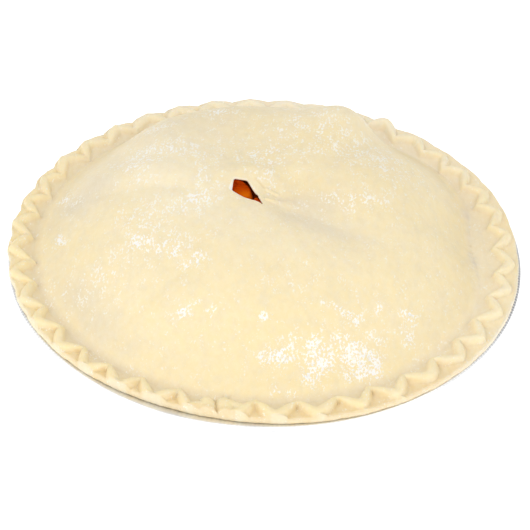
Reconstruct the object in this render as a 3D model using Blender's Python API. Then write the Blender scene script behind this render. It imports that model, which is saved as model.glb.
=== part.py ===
"""An unbaked ten inch peach pie in its foil tin.

Metres, +Z up. The tin stands on z = 0 about the Z axis, and the pie's front is at -Y. Three pieces: the tin,
the crust (bottom crust, crimped rim and lid in one piece, open at the steam vent) and the peach filling, which
fills the crust and shows at the vent.
"""

from math import atan2
from math import cos
from math import exp
from math import floor
from math import hypot
from math import pi
from math import radians
from math import sin
from math import tan
from math import tau
from random import Random

import bmesh
import bpy
from mathutils import Vector
from mathutils import noise

# The tin, of foil drawn here a little thicker than the real sheet
RIM_RADIUS = 0.124
BEAD_RADIUS = 0.0011
FOIL = 0.0005
FLANGE_TOP = 0.0285
FLANGE_CORNER = 0.0025
FLOOR_RADIUS = 0.0840
FLOOR_CORNER = 0.0050
WALL_SLANT = radians(49.0)
CORNER_FACETS = 2
BEAD_FACETS = 7
BEAD_SWEEP = radians(300.0)

# The dough
GAP = 0.0003
DOUGH = 0.0033
BOTTOM_CRUST = 0.0030
RING_CENTRE = Vector((-0.0010, -0.0011))
EDGE_RADIUS = 0.1221
EDGE_SCALLOP = 0.0003
BACK_SCALLOP = 0.0009
BACK_SCALLOP_DIRECTION = radians(120.0)
BACK_SCALLOP_SPREAD = radians(50.0)
EDGE_ROUNDING = 0.0008
BAND_THICKNESS = 0.0028
CAVITY_TOP = 0.0256
TROUGH_DROP = 0.0016
TROUGH_OUTER_RADIUS = 0.1145
BAND_TOP = FLANGE_TOP + GAP + BAND_THICKNESS
TROUGH_BOTTOM = BAND_TOP - TROUGH_DROP

# The crimp: a ridge that zigzags round the band, once for each tooth
TEETH = 40
FIRST_TOOTH = -radians(17.86)
INNER_TIP_RADIUS = 0.1124
OUTER_BEND_RADIUS = 0.1190
RIDGE_HEIGHT = 0.0034
RIDGE_HALF_WIDTH = 0.0023
BEND_ROUNDNESS = 0.60
LEG_EXTRA_WIDTH = 0.0011
CLEFT_DEPTH = 0.0008
TIP_WANDER = 0.0009
BEND_WANDER = 0.0006
ANGLE_WANDER = radians(0.5)
HEIGHT_WANDER = 0.0004
CRIMP_SEED = 40
JOIN_TOOTH = 9.0
JOIN_TEETH = 0.5
JOIN_FADE = 0.2
JOIN_RADIUS = 0.1146
JOIN_HALF_WIDTH = 0.0036
SHOULDER_SPREADS = (0.55, 0.86)
SHOULDER_HEIGHTS = (0.80, 0.97)

# How the crimp changes round the pie: its tips reach further in at the front and the left, it is tight and
# deeply scalloped at the back left, its teeth are shifted at the right, and one lobe with
# a notch beside it stands up at the back right
FRONT_TIP_REACH = 0.0026
FRONT_TIP_DIRECTION = radians(-85.0)
FRONT_TIP_SPREAD = radians(50.0)
LEFT_TIP_REACH = 0.0015
LEFT_TIP_DIRECTION = radians(187.0)
LEFT_TIP_SPREAD = radians(28.0)
TIGHT_DIRECTION = radians(122.0)
TIGHT_SPREAD = radians(58.0)
TIGHT_TIP_REACH = 0.0004
TIGHT_BEND_REACH = 0.0005
TIGHT_SCALLOP = 0.0032
TIGHT_WIDTH = 0.12
TIGHT_TIP_DROP = 0.0018
TIGHT_POCKET = 0.0014
LEFT_POCKET = 0.0010
LEFT_POCKET_SPREAD = radians(60.0)
PHASE_DIRECTION = radians(5.0)
PHASE_SPREAD = radians(20.0)
PHASE_SHIFT = radians(1.2)
LOBE_DIRECTION = radians(59.5)
LOBE_SPREAD = radians(3.4)
LOBE_RISE = 0.0024
NOTCH_DIRECTION = radians(56.2)
NOTCH_SPREAD = radians(1.5)
NOTCH = 0.0018

# The lid
LID_RADIUS = 0.1082
LID_RISE = 0.0292
FRONT_FULLNESS = 3.1
BACK_FULLNESS = 8.2
BACK_DIRECTION = radians(108.0)
BACK_SPREADS = (radians(24.0), radians(62.0))
BACK_DIP = 1.2
BACK_DIP_DIRECTION = radians(90.0)
BACK_DIP_SPREAD = radians(17.0)
LEFT_DIP = 4.0
LEFT_DIP_DIRECTION = radians(146.0)
LEFT_DIP_SPREAD = radians(18.0)
CORNER_FULLNESS = 4.2
CORNER_DIRECTION = radians(65.0)
CORNER_SPREAD = radians(8.5)
SHOULDER_SOFTNESS = 1.30
RIGHT_FULLNESS = 4.2
RIGHT_DIRECTION = radians(18.0)
RIGHT_SPREAD = radians(38.0)
RIGHT_STEP_ANGLE = radians(3.5)
RIGHT_STEP_WIDTH = radians(14.0)
RIGHT_STEP = 0.0072
LEFT_REACH = 0.0020
LEFT_DIRECTION = radians(145.0)
LEFT_SPREAD = radians(55.0)
BACK_RIGHT_REACH = 0.0026
BACK_RIGHT_DIRECTION = radians(36.0)
BACK_RIGHT_SPREAD = radians(14.0)
UNEVENNESS = 0.0011
UNEVEN_SIZE = 0.026
NOISE_ORIGIN = Vector((3.1, 7.7, 1.9))

# Low mounds and hollows of the fruit under the lid: centre, reach and height
MOUNDS = {
    "back left mound": ((-0.047, 0.028), 0.019, 0.0022),
    "dimple on it": ((-0.042, 0.010), 0.008, -0.0014),
    "saddle at the back": ((-0.022, 0.054), 0.026, -0.0042),
    "back right mound": ((0.046, 0.036), 0.030, 0.0020),
    "back bulge": ((0.0410, 0.0800), 0.0150, 0.0044),
    "front mass": ((0.006, -0.026), 0.026, 0.0016),
    "right front mass": ((0.060, -0.044), 0.022, 0.0014),
    "upper right dent": ((0.0965, 0.0290), 0.0045, -0.0036),
    "lower right dent": ((0.0970, -0.0060), 0.0036, -0.0024),
}

# The vent, a torn wedge: blunt at its left end, pointed towards the right and front. Each edge has the
# direction that it faces from the vent's centre and its distance from there
VENT_CENTRE = Vector((-0.0085, 0.0037))
VENT_EDGES = {
    "near edge": (radians(-127.8), 0.0036),
    "lower far edge": (radians(18.5), 0.0038),
    "upper far edge": (radians(25.5), 0.0033),
    "top edge": (radians(84.0), 0.0088),
    "blunt end": (radians(176.1), 0.0078),
}
VENT_SHARPNESS = 14.0
VENT_BLEND_RADIUS = 0.050
VENT_LIP_RADIUS = 0.0165
VENT_LIP_WIDTH = 0.0068
VENT_LIP_RISE = 0.0021
VENT_SINK = 0.0016
VENT_DOUGH = 0.0019
VENT_UNDERCUT = 0.0012
VENT_THIN_SHARE = 0.16

# The valley that runs from the vent's point to the right, and the crest in front of it
VALLEY_START = Vector((0.0030, 0.0030))
VALLEY_SLOPE = -0.50
VALLEY_CURVE = 2.6
VALLEY_LENGTH = 0.062
VALLEY_DEPTH = 0.0052
VALLEY_BACK_WIDTH = 0.0170
VALLEY_FRONT_WIDTHS = (0.0150, 0.0190)

# The filling
SLICES = {
    "large slice": ((-0.0115, 0.0062), radians(108.0), 0.0080, 0.0048, 0.0020),
    "small piece": ((-0.0036, -0.0018), radians(118.0), 0.0032, 0.0017, 0.0012),
}
FILLING_DROP = 0.0008
SLICE_MARGIN = 0.12
FILLING_SHRINK = 0.996

# Facets
CRIMP_STEPS = 6 * TEETH
LID_STEPS = 2 * TEETH
TIN_STEPS = 60
DIFFERENCE_STEP = 0.0005

COLLECTION_NAME = "peach_pie"


def clear_scene():
    for old in list(bpy.data.objects):
        bpy.data.objects.remove(old, do_unlink=True)


def principled(name, colour, roughness, metallic=0.0):
    material = bpy.data.materials.new(name)
    material.use_nodes = True
    shader = material.node_tree.nodes["Principled BSDF"]
    shader.inputs["Base Color"].default_value = (*colour, 1.0)
    shader.inputs["Roughness"].default_value = roughness
    shader.inputs["Metallic"].default_value = metallic
    return material


def bell(distance, reach):
    return exp(-((distance / reach) ** 2))


def turn_between(angle, other):
    """The signed angle from one direction to another, from -pi to pi."""
    return (angle - other + pi) % tau - pi


def mix(a, b, share):
    return a + (b - a) * share


def smooth_step(value):
    value = min(max(value, 0.0), 1.0)
    return value * value * (3.0 - 2.0 * value)


# The lid's height


def lid_radius(angle):
    """Where the lid's foot meets the band: drawn in at the right, where the lid ends in a step."""
    inward = RIGHT_STEP * bell(turn_between(angle, RIGHT_STEP_ANGLE), RIGHT_STEP_WIDTH)
    further = BACK_RIGHT_REACH * bell(turn_between(angle, BACK_RIGHT_DIRECTION), BACK_RIGHT_SPREAD)
    return LID_RADIUS - inward + further + LEFT_REACH * bell(turn_between(angle, LEFT_DIRECTION), LEFT_SPREAD)


def valley_depth(x, y):
    """The fold that starts at the vent's point, steep on its front side and gentle behind."""
    along = x - VALLEY_START.x
    centre = VALLEY_START.y + VALLEY_SLOPE * along + VALLEY_CURVE * along * along
    across = y - centre
    share = along / VALLEY_LENGTH
    width = VALLEY_BACK_WIDTH if across > 0.0 else mix(*VALLEY_FRONT_WIDTHS, smooth_step(share))
    fade = smooth_step(share * 4.0 + 0.55) * smooth_step((1.0 - share) * 1.8)
    return VALLEY_DEPTH * fade * bell(across, width)


def lid_height(x, y):
    """The height of the lid's upper face over the tin's foot, at a point of the plan."""
    dx = x - RING_CENTRE.x
    dy = y - RING_CENTRE.y
    angle = atan2(dy, dx)
    share = min(hypot(dx, dy) / lid_radius(angle), 1.0)
    full, plain = (cos(spread) for spread in BACK_SPREADS)
    backness = smooth_step((cos(angle - BACK_DIRECTION) - plain) / (full - plain))
    fullness = mix(FRONT_FULLNESS, BACK_FULLNESS, backness)
    fullness -= BACK_DIP * bell(turn_between(angle, BACK_DIP_DIRECTION), BACK_DIP_SPREAD)
    fullness -= LEFT_DIP * backness * bell(turn_between(angle, LEFT_DIP_DIRECTION), LEFT_DIP_SPREAD)
    fullness = mix(fullness, RIGHT_FULLNESS, bell(turn_between(angle, RIGHT_DIRECTION), RIGHT_SPREAD))
    fullness += CORNER_FULLNESS * bell(turn_between(angle, CORNER_DIRECTION), CORNER_SPREAD)
    dome = (1.0 - share**fullness) ** SHOULDER_SOFTNESS
    relief = 0.0
    for centre, reach, height in MOUNDS.values():
        relief += height * bell(hypot(x - centre[0], y - centre[1]), reach)
    relief -= valley_depth(x, y)
    from_vent = hypot(x - VENT_CENTRE.x, y - VENT_CENTRE.y)
    behind = smooth_step(0.5 + 0.5 * sin(atan2(y - VENT_CENTRE.y, x - VENT_CENTRE.x) + radians(25.0)))
    relief += VENT_LIP_RISE * behind * bell(from_vent - VENT_LIP_RADIUS, VENT_LIP_WIDTH)
    relief -= VENT_SINK * bell(from_vent, VENT_LIP_WIDTH)
    place = Vector((x, y, 0.0)) / UNEVEN_SIZE + NOISE_ORIGIN
    relief += UNEVENNESS * noise.noise(place)
    return TROUGH_BOTTOM + (LID_RISE + TROUGH_DROP) * dome + relief * min(dome * 2.5, 1.0)


def lid_slant(x, y):
    """How much longer a vertical line through the lid is than the dough is thick."""
    step = DIFFERENCE_STEP
    slope_x = (lid_height(x + step, y) - lid_height(x - step, y)) / (2.0 * step)
    slope_y = (lid_height(x, y + step) - lid_height(x, y - step)) / (2.0 * step)
    return (1.0 + slope_x * slope_x + slope_y * slope_y) ** 0.5


# The vent and the plan of the lid's rings


def vent_outline(angle, grow=0.0):
    """A point of the vent's outline, its edges straight and its corners rounded."""
    reach = 0.0
    for direction, distance in VENT_EDGES.values():
        reach += (max(cos(angle - direction), 0.0) / distance) ** VENT_SHARPNESS
    return VENT_CENTRE + (reach ** (-1.0 / VENT_SHARPNESS) + grow) * Vector((cos(angle), sin(angle)))


def lid_plan(radius, angle, grow=0.0):
    """The plan of a ring of the lid: a circle far out, the vent's outline at the innermost ring."""
    circle = RING_CENTRE + radius * Vector((cos(angle), sin(angle)))
    share = smooth_step(radius / VENT_BLEND_RADIUS)
    near_vent = vent_outline(angle, grow + 0.8 * radius)
    return near_vent.lerp(circle, share)


# The crimp


def crimp_table():
    """Each tooth's own radius, angle and height, a little unlike its neighbours'."""
    draw = Random(CRIMP_SEED)
    table = []
    for _ in range(2 * TEETH):
        table.append((draw.uniform(-1.0, 1.0), draw.uniform(-1.0, 1.0), draw.uniform(-1.0, 1.0)))
    return table


CRIMP_TABLE = crimp_table()


def tightness(angle):
    """One at the back left, where the crimp is at its narrowest and thickest."""
    return bell(turn_between(angle, TIGHT_DIRECTION), TIGHT_SPREAD)


def tooth_share(angle):
    """The place along the zigzag in teeth: whole numbers are inner tips and halves are outer bends."""
    shift = PHASE_SHIFT * bell(turn_between(angle, PHASE_DIRECTION), PHASE_SPREAD)
    return ((FIRST_TOOTH + shift - angle) / tau * TEETH) % TEETH


def wander(tooth, column):
    """The crimp's unevenness, which runs smoothly from each tip and bend to the next."""
    place = 2.0 * tooth
    first = floor(place)
    share = smooth_step(place - first)
    return mix(
        CRIMP_TABLE[first % (2 * TEETH)][column],
        CRIMP_TABLE[(first + 1) % (2 * TEETH)][column],
        share,
    )


def join_share(tooth):
    """One at the flat block where the two ends of the crimp were pressed together."""
    return smooth_step(0.5 + (JOIN_TEETH - abs(tooth - JOIN_TOOTH)) / JOIN_FADE)


def zigzag(tooth):
    """From 0 at the sharp inner tips to 1 at the rounded outer bends."""
    straight = 1.0 - abs(2.0 * (tooth - floor(tooth)) - 1.0)
    return mix(straight, abs(sin(pi * tooth)), BEND_ROUNDNESS)


def inner_tip_radius(angle):
    inward = FRONT_TIP_REACH * bell(turn_between(angle, FRONT_TIP_DIRECTION), FRONT_TIP_SPREAD)
    inward += LEFT_TIP_REACH * bell(turn_between(angle, LEFT_TIP_DIRECTION), LEFT_TIP_SPREAD)
    return INNER_TIP_RADIUS - inward + TIGHT_TIP_REACH * tightness(angle)


def ridge_shape(angle):
    """The ridge at an angle: its radius, its half width, its height and how near its tip is."""
    tooth = tooth_share(angle)
    tooth += ANGLE_WANDER / tau * TEETH * wander(tooth, 1)
    swing = zigzag(tooth)
    inner = inner_tip_radius(angle) + TIP_WANDER * wander(tooth, 0)
    outer = OUTER_BEND_RADIUS - TIGHT_BEND_REACH * tightness(angle) + BEND_WANDER * wander(tooth, 0)
    radius = mix(inner, outer, swing)
    leg = abs(sin(2.0 * pi * tooth))
    half_width = (RIDGE_HALF_WIDTH + LEG_EXTRA_WIDTH * leg) * (1.0 + TIGHT_WIDTH * tightness(angle))
    height = RIDGE_HEIGHT + HEIGHT_WANDER * wander(tooth, 2)
    height += LOBE_RISE * bell(turn_between(angle, LOBE_DIRECTION), LOBE_SPREAD)
    height -= TIGHT_TIP_DROP * tightness(angle) * (1.0 - swing)
    join = join_share(tooth)
    radius = mix(radius, JOIN_RADIUS, join)
    half_width = mix(half_width, JOIN_HALF_WIDTH, join)
    tip = (1.0 - swing) * (1.0 - join)
    return radius, half_width, height, tip


def edge_radius(angle):
    """The dough's outer edge: it reaches further at the front right and the left, less at the front left."""
    further = 0.0008 * bell(turn_between(angle, radians(-50.0)), radians(25.0))
    further += 0.0006 * bell(turn_between(angle, radians(180.0)), radians(30.0))
    further += 0.0009 * bell(turn_between(angle, radians(23.0)), radians(12.0))
    further -= 0.0018 * bell(turn_between(angle, radians(-108.0)), radians(24.0))
    further += 0.0008 * bell(turn_between(angle, radians(-24.0)), radians(17.0))
    further -= NOTCH * bell(turn_between(angle, NOTCH_DIRECTION), NOTCH_SPREAD)
    swing = zigzag(tooth_share(angle))
    scallop = EDGE_SCALLOP + BACK_SCALLOP * bell(turn_between(angle, BACK_SCALLOP_DIRECTION), BACK_SCALLOP_SPREAD)
    return EDGE_RADIUS + further + scallop * swing - TIGHT_SCALLOP * tightness(angle) * (1.0 - swing)


def ring_point(radius, angle, height):
    return Vector((RING_CENTRE.x + radius * cos(angle), RING_CENTRE.y + radius * sin(angle), height))


def edge_point(angle, inset, height):
    """A point of the outer edge, which is centred on the tin."""
    radius = edge_radius(angle) - inset
    return Vector((radius * cos(angle), radius * sin(angle), height))


def band_floor(radius, angle):
    """The height of the band's upper face beside the ridge: it dips into the trough round the lid."""
    share = (TROUGH_OUTER_RADIUS - radius) / (TROUGH_OUTER_RADIUS - lid_radius(angle))
    return BAND_TOP - TROUGH_DROP * smooth_step(share)


def crimp_point(station, angle):
    """The rings of the band, from the edge's foot over the ridge to the lid's foot."""
    radius, half_width, height, tip = ridge_shape(angle)
    edge = edge_point(angle, 0.0, 0.0)
    edge_from_ring = hypot(edge.x - RING_CENTRE.x, edge.y - RING_CENTRE.y) - 2.0 * EDGE_ROUNDING
    outer_foot = min(radius + half_width, edge_from_ring - 0.0003)
    inner_foot = radius - half_width
    foot = min(lid_radius(angle), inner_foot - 0.0004)
    join = join_share(tooth_share(angle))
    spread = mix(*SHOULDER_SPREADS, join)
    shoulder = BAND_TOP + mix(*SHOULDER_HEIGHTS, join) * height
    raised = LEFT_POCKET * bell(turn_between(angle, pi), LEFT_POCKET_SPREAD) + TIGHT_POCKET * tightness(angle)
    pocket = BAND_TOP + (raised - CLEFT_DEPTH) * tip
    if station == "edge foot":
        return edge_point(angle, 0.0004, FLANGE_TOP + GAP)
    if station == "edge side":
        return edge_point(angle, 0.0, BAND_TOP - EDGE_ROUNDING)
    if station == "edge top":
        return edge_point(angle, EDGE_ROUNDING, BAND_TOP - 0.0001)
    if station == "pocket":
        return ring_point(mix(edge_from_ring, outer_foot, 0.55), angle, BAND_TOP + raised * tip)
    if station == "outer foot":
        return ring_point(outer_foot, angle, pocket)
    if station == "outer shoulder":
        return ring_point(mix(radius, outer_foot, spread), angle, shoulder)
    if station == "crest":
        return ring_point(radius, angle, BAND_TOP + height)
    if station == "inner shoulder":
        return ring_point(mix(radius, inner_foot, spread), angle, shoulder)
    if station == "inner foot":
        return ring_point(inner_foot, angle, band_floor(inner_foot, angle) + 0.0002)
    return ring_point(foot, angle, TROUGH_BOTTOM)


CRIMP_STATIONS = (
    "edge foot",
    "edge side",
    "edge top",
    "pocket",
    "outer foot",
    "outer shoulder",
    "crest",
    "inner shoulder",
    "inner foot",
    "lid foot",
)
LID_SHARES = (0.965, 0.92, 0.86, 0.78, 0.69, 0.59, 0.49, 0.39, 0.29, 0.20, 0.12, 0.055, 0.0)
UNDER_SHARES = (0.0, 0.06, 0.16, 0.30, 0.45, 0.60, 0.74, 0.84, 0.91, 0.955)
FILLING_SHARES = (-0.85, -0.65, -0.45, -0.25, -0.06) + UNDER_SHARES[1:]


def lid_point(share, angle):
    plan = lid_plan(share * lid_radius(angle), angle)
    return Vector((plan.x, plan.y, lid_height(plan.x, plan.y)))


def lid_under_point(share, angle, clearance=0.0):
    """The lid's lower face, thinner at the vent; with a clearance, the filling's upper face below it."""
    plan = lid_plan(share * lid_radius(angle), angle, grow=VENT_UNDERCUT)
    thickness = mix(VENT_DOUGH, DOUGH, smooth_step(share / VENT_THIN_SHARE))
    drop = (thickness + clearance) * lid_slant(plan.x, plan.y)
    return Vector((plan.x, plan.y, lid_height(plan.x, plan.y) - drop))


# The tin's profile and what nests in it


def tin_profile(offset):
    """The tin's upper face from the floor's edge to the flange, or the line that lies offset over it."""
    centre_z = FOIL + FLOOR_CORNER
    low = FLOOR_CORNER - offset
    high = FLANGE_CORNER + offset
    foot_z = centre_z - FLOOR_CORNER * cos(WALL_SLANT)
    top_z = FLANGE_TOP - FLANGE_CORNER * (1.0 - cos(WALL_SLANT))
    wall_run = (top_z - foot_z) / tan(WALL_SLANT)
    flange_x = FLOOR_RADIUS + (FLOOR_CORNER + FLANGE_CORNER) * sin(WALL_SLANT) + wall_run
    flange_z = FLANGE_TOP - FLANGE_CORNER
    turns = [WALL_SLANT * i / CORNER_FACETS for i in range(CORNER_FACETS + 1)]
    floor_arc = [(FLOOR_RADIUS + low * sin(turn), centre_z - low * cos(turn)) for turn in turns]
    flange_arc = [(flange_x - high * sin(turn), flange_z + high * cos(turn)) for turn in reversed(turns)]
    return floor_arc + flange_arc


def cavity_profile(clearance):
    """The bottom crust's inner face, from under the band down the wall to the floor's edge."""
    offset = GAP + BOTTOM_CRUST + clearance
    floor_arc = tin_profile(offset)[: CORNER_FACETS + 1]
    foot_x, foot_z = floor_arc[-1]
    top_z = CAVITY_TOP - clearance
    top = (foot_x + (top_z - foot_z) / tan(WALL_SLANT), top_z)
    return [top] + floor_arc[::-1]


def bead_profile():
    """The rolled bead under the flange's edge, from its top round the outside and back under."""
    centre_x = RIM_RADIUS - BEAD_RADIUS
    centre_z = FLANGE_TOP - BEAD_RADIUS
    points = []
    for i in range(BEAD_FACETS + 1):
        turn = BEAD_SWEEP * i / BEAD_FACETS
        points.append((centre_x + BEAD_RADIUS * sin(turn), centre_z + BEAD_RADIUS * cos(turn)))
    return points


def turned_point(spot, angle):
    return Vector((spot[0] * cos(angle), spot[0] * sin(angle), spot[1]))


# Mesh making


def turned_web(mesh, stations, steps):
    """A web of faces with one ring of vertices for each station: a chain along X is spun round Z, and each
    vertex then goes to its place. A station is a function and what it takes before the angle."""
    old = set(mesh.verts)
    chain = [mesh.verts.new((1.0 + i, 0.0, 0.0)) for i in range(len(stations))]
    links = [mesh.edges.new(pair) for pair in zip(chain, chain[1:])]
    bmesh.ops.spin(
        mesh,
        geom=chain + links,
        axis=(0.0, 0.0, 1.0),
        cent=(0.0, 0.0, 0.0),
        angle=tau,
        steps=steps,
        use_merge=True,
    )
    rings = [[None] * steps for _ in stations]
    for vertex in mesh.verts:
        if vertex not in old:
            ring = round(hypot(vertex.co.x, vertex.co.y)) - 1
            step = round(atan2(vertex.co.y, vertex.co.x) / tau * steps) % steps
            rings[ring][step] = vertex
    for ring, (place, station) in zip(rings, stations):
        for step, vertex in enumerate(ring):
            vertex.co = place(station, tau * step / steps)
    return rings


def ring_edges(mesh, ring):
    return [mesh.edges.get(pair) for pair in zip(ring, ring[1:] + ring[:1])]


def bridge(mesh, ring, other):
    """Joins two rings of unlike counts with a band of faces."""
    bmesh.ops.bridge_loops(mesh, edges=ring_edges(mesh, ring) + ring_edges(mesh, other))


def close_ring(mesh, ring):
    bmesh.ops.edgeloop_fill(mesh, edges=ring_edges(mesh, ring))


def finish_piece(mesh, name, material, collection):
    bmesh.ops.triangulate(mesh, faces=list(mesh.faces))
    bmesh.ops.recalc_face_normals(mesh, faces=list(mesh.faces))
    data = bpy.data.meshes.new(name)
    mesh.to_mesh(data)
    mesh.free()
    data.materials.append(material)
    data.shade_smooth()
    data.set_sharp_from_angle(angle=radians(40.0))
    piece = bpy.data.objects.new(name, data)
    collection.objects.link(piece)
    return piece


def make_crust(collection, material):
    """Bottom crust, crimped rim and lid, with the steam vent open into the space that the filling takes."""
    mesh = bmesh.new()
    shell = turned_web(mesh, [(turned_point, spot) for spot in tin_profile(GAP)], TIN_STEPS)
    crimp = turned_web(mesh, [(crimp_point, station) for station in CRIMP_STATIONS], CRIMP_STEPS)
    lid = turned_web(mesh, [(lid_point, share) for share in LID_SHARES], LID_STEPS)
    inner_stations = [(lid_under_point, share) for share in UNDER_SHARES]
    inner_stations += [(turned_point, spot) for spot in cavity_profile(0.0)]
    inside = turned_web(mesh, inner_stations, TIN_STEPS)
    bridge(mesh, shell[-1], crimp[0])
    bridge(mesh, crimp[-1], lid[0])
    bridge(mesh, lid[-1], inside[0])
    close_ring(mesh, shell[0])
    close_ring(mesh, inside[-1])
    return finish_piece(mesh, "crust", material, collection)


def slice_height(x, y):
    """How far the peach pieces stand up under the vent."""
    top = 0.0
    for centre, turn, half_length, half_width, height in SLICES.values():
        dx = x - centre[0]
        dy = y - centre[1]
        along = dx * cos(turn) + dy * sin(turn)
        across = dy * cos(turn) - dx * sin(turn)
        reach = (along / half_length) ** 2 + (across / half_width) ** 2
        if reach < 1.0:
            top = max(top, height * (1.0 - reach) ** 0.5)
    return top


def filling_point(share, angle):
    """The filling's upper face: under the lid for a share over 0, inside the vent's outline for one under 0."""
    if share >= 0.0:
        return lid_under_point(share * FILLING_SHRINK, angle, GAP)
    outline = vent_outline(angle)
    plan = VENT_CENTRE.lerp(outline, 1.0 + share)
    height = lid_height(plan.x, plan.y) - VENT_DOUGH - GAP - FILLING_DROP
    pieces = slice_height(plan.x, plan.y) * smooth_step(-share / SLICE_MARGIN - 0.5)
    return Vector((plan.x, plan.y, height + pieces))


def make_filling(collection, material):
    """The fruit: it fills the crust, and its pieces stand up under the vent."""
    mesh = bmesh.new()
    stations = [(filling_point, share) for share in FILLING_SHARES]
    stations += [(turned_point, spot) for spot in cavity_profile(GAP)]
    rings = turned_web(mesh, stations, TIN_STEPS)
    close_ring(mesh, rings[0])
    close_ring(mesh, rings[-1])
    return finish_piece(mesh, "filling", material, collection)


def make_tin(collection, material):
    """The foil tin: one sheet from the floor over the wall and the flange to the bead rolled under its edge."""
    mesh = bmesh.new()
    profile = tin_profile(0.0) + bead_profile() + tin_profile(-FOIL)[::-1]
    rings = turned_web(mesh, [(turned_point, spot) for spot in profile], TIN_STEPS)
    close_ring(mesh, rings[0])
    close_ring(mesh, rings[-1])
    return finish_piece(mesh, "tin", material, collection)


def main():
    clear_scene()
    collection = bpy.data.collections.new(COLLECTION_NAME)
    bpy.context.scene.collection.children.link(collection)
    make_crust(collection, principled("raw_dough", (0.90, 0.76, 0.52), 0.75))
    make_filling(collection, principled("peaches", (0.62, 0.20, 0.03), 0.35))
    make_tin(collection, principled("foil", (0.80, 0.81, 0.82), 0.30, 1.0))


main()
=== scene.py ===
"""An unbaked ten inch peach pie in its foil tin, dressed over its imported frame.

Metres, +Z up. The tin stands on z = 0 about the Z axis, and the pie's front is at -Y.
"""

from math import cos, hypot, pi, radians, sin, tan, tau
from random import Random

import bmesh
import bpy
import numpy as np
from bpy.props import FloatProperty
from bpy.props import FloatVectorProperty
from bpy.props import IntProperty
from bpy.props import PointerProperty
from mathutils import Euler
from mathutils import Matrix
from mathutils import Vector
from mathutils import noise


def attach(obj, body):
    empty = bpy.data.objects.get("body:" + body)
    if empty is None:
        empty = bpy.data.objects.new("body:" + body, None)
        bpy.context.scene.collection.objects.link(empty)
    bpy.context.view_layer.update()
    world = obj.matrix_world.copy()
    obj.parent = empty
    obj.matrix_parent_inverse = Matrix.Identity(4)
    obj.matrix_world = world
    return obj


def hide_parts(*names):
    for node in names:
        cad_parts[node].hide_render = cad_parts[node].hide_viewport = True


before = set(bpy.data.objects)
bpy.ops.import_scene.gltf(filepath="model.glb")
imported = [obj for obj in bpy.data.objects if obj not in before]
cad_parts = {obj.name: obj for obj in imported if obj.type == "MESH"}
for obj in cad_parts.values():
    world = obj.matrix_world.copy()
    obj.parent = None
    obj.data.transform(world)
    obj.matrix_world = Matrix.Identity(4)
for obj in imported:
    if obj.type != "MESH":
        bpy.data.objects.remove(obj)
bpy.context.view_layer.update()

bl_info = {
    "name": "Peach Pie",
    "version": (1, 0, 0),
    "blender": (4, 5, 0),
    "location": "View3D > Sidebar > Pie",
    "description": "Makes an unbaked peach pie in a foil tin, piece by piece",
    "category": "Object",
}

BODY = "root"

# A swell round the pie is given by its height, the direction of its middle and its spread, both in degrees

# The tin
BEAD_RADIUS = 0.0011
BEAD_FACETS = 12
BEAD_SWEEP = radians(300.0)
BEAD_START = 2.4
FOIL = 0.0005
FLANGE_CORNER = 0.0025
FLOOR_RADIUS = 0.0840
FLOOR_CORNER = 0.0050
WALL_SLANT = radians(49.0)
CORNER_FACETS = 6
WALL_FACETS = 10
WALL_TOP_RADIUS = 0.1130
WALL_FADE = 0.003
CREASES = 132.0
CREASE_WOBBLE = 5.0
CREASE_SHARPNESS = 1.6
CREASE_DEPTH = 0.0011
CREASE_MIDDLE = 0.65
CREASE_RANGE = 0.7
# Painted light on the creases' crests, which takes away part of the wall's painted shade
CREASE_PAINTED_LIGHT = 0.75
CREASE_FOOT = 0.10
CREASE_RUN = 0.25
# The noise that moves the creases and the one that varies their depth: size round the wall and place
CREASE_WOBBLE_NOISE = (1.0 / 6.0, Vector((0.0, 0.0, 0.4)))
CREASE_DEPTH_NOISE = (1.0 / 22.0, Vector((0.0, 0.0, 3.7)))
# The teeth across the bead, and the angle from which the foil's edges are sharp
SERRATION_DEPTH = 0.00014
SERRATION_SAG = 0.00010
FOIL_SHARP = radians(50.0)
BULGE = (0.0006, -112.0, 14.0)
# The rim is a little out of round: drawn in by this much, but for the right side
RIM_DRAW = 0.0010
RIM_FULL = (1.0, -12.0, 72.0)
# Painted shade and dark reflection on the foil: how dark it is everywhere in the bead's grooves, the share of
# it on the teeth between them, more of it at two places, and on the wall
PAINTED_GROOVE_SHADE = 0.04
PAINTED_GROOVE_SHADE_ON_TEETH = 0.10
PAINTED_GROOVE_SHADE_SWELLS = ((0.80, -12.0, 20.0), (0.30, -155.0, 8.0))
PAINTED_WALL_SHADE = 0.66
# The floor's embossed rings: radius and rise
EMBOSSED = ((0.076, 0.0), (0.072, 0.0007), (0.068, 0.0007), (0.064, 0.0), (0.030, 0.0), (0.026, 0.0005))

# The dough
GAP = 0.0003
BOTTOM_CRUST = 0.0030
CAVITY_TOP = 0.0256
RING_CENTRE = (-0.0010, -0.0011)
BAND_THICKNESS = 0.0028
TROUGH_DROP = 0.0016
TROUGH_OUTER_RADIUS = 0.1145
EDGE_RADIUS = 0.1221
# The last swell of the edge is the notch at the back right
EDGE_SWELLS = (
    (0.0008, -50.0, 25.0),
    (0.0006, 180.0, 30.0),
    (0.0009, 23.0, 12.0),
    (-0.0018, -108.0, 24.0),
    (0.0008, -24.0, 17.0),
    (-0.0018, 56.2, 1.5),
)
EDGE_UNEVENNESS = 0.00025
EDGE_INSET = 0.0009
EDGE_LIP = 0.00035
EDGE_LIP_PLACE = 0.0010
EDGE_LIP_WIDTH = 0.0008
# The rounded edge from its foot: how far in it is, and the share of the way up
EDGE_SIDES = ((0.0005, 0.0), (0.0001, 0.14), (0.0, 0.36), (0.0, 0.60), (0.00012, 0.80), (0.0004, 0.94))
EDGE_SCALLOP = 0.0003
BACK_SCALLOP = (0.0009, 120.0, 50.0)
BACK_SAG = (0.0008, 120.0, 50.0)

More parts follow.
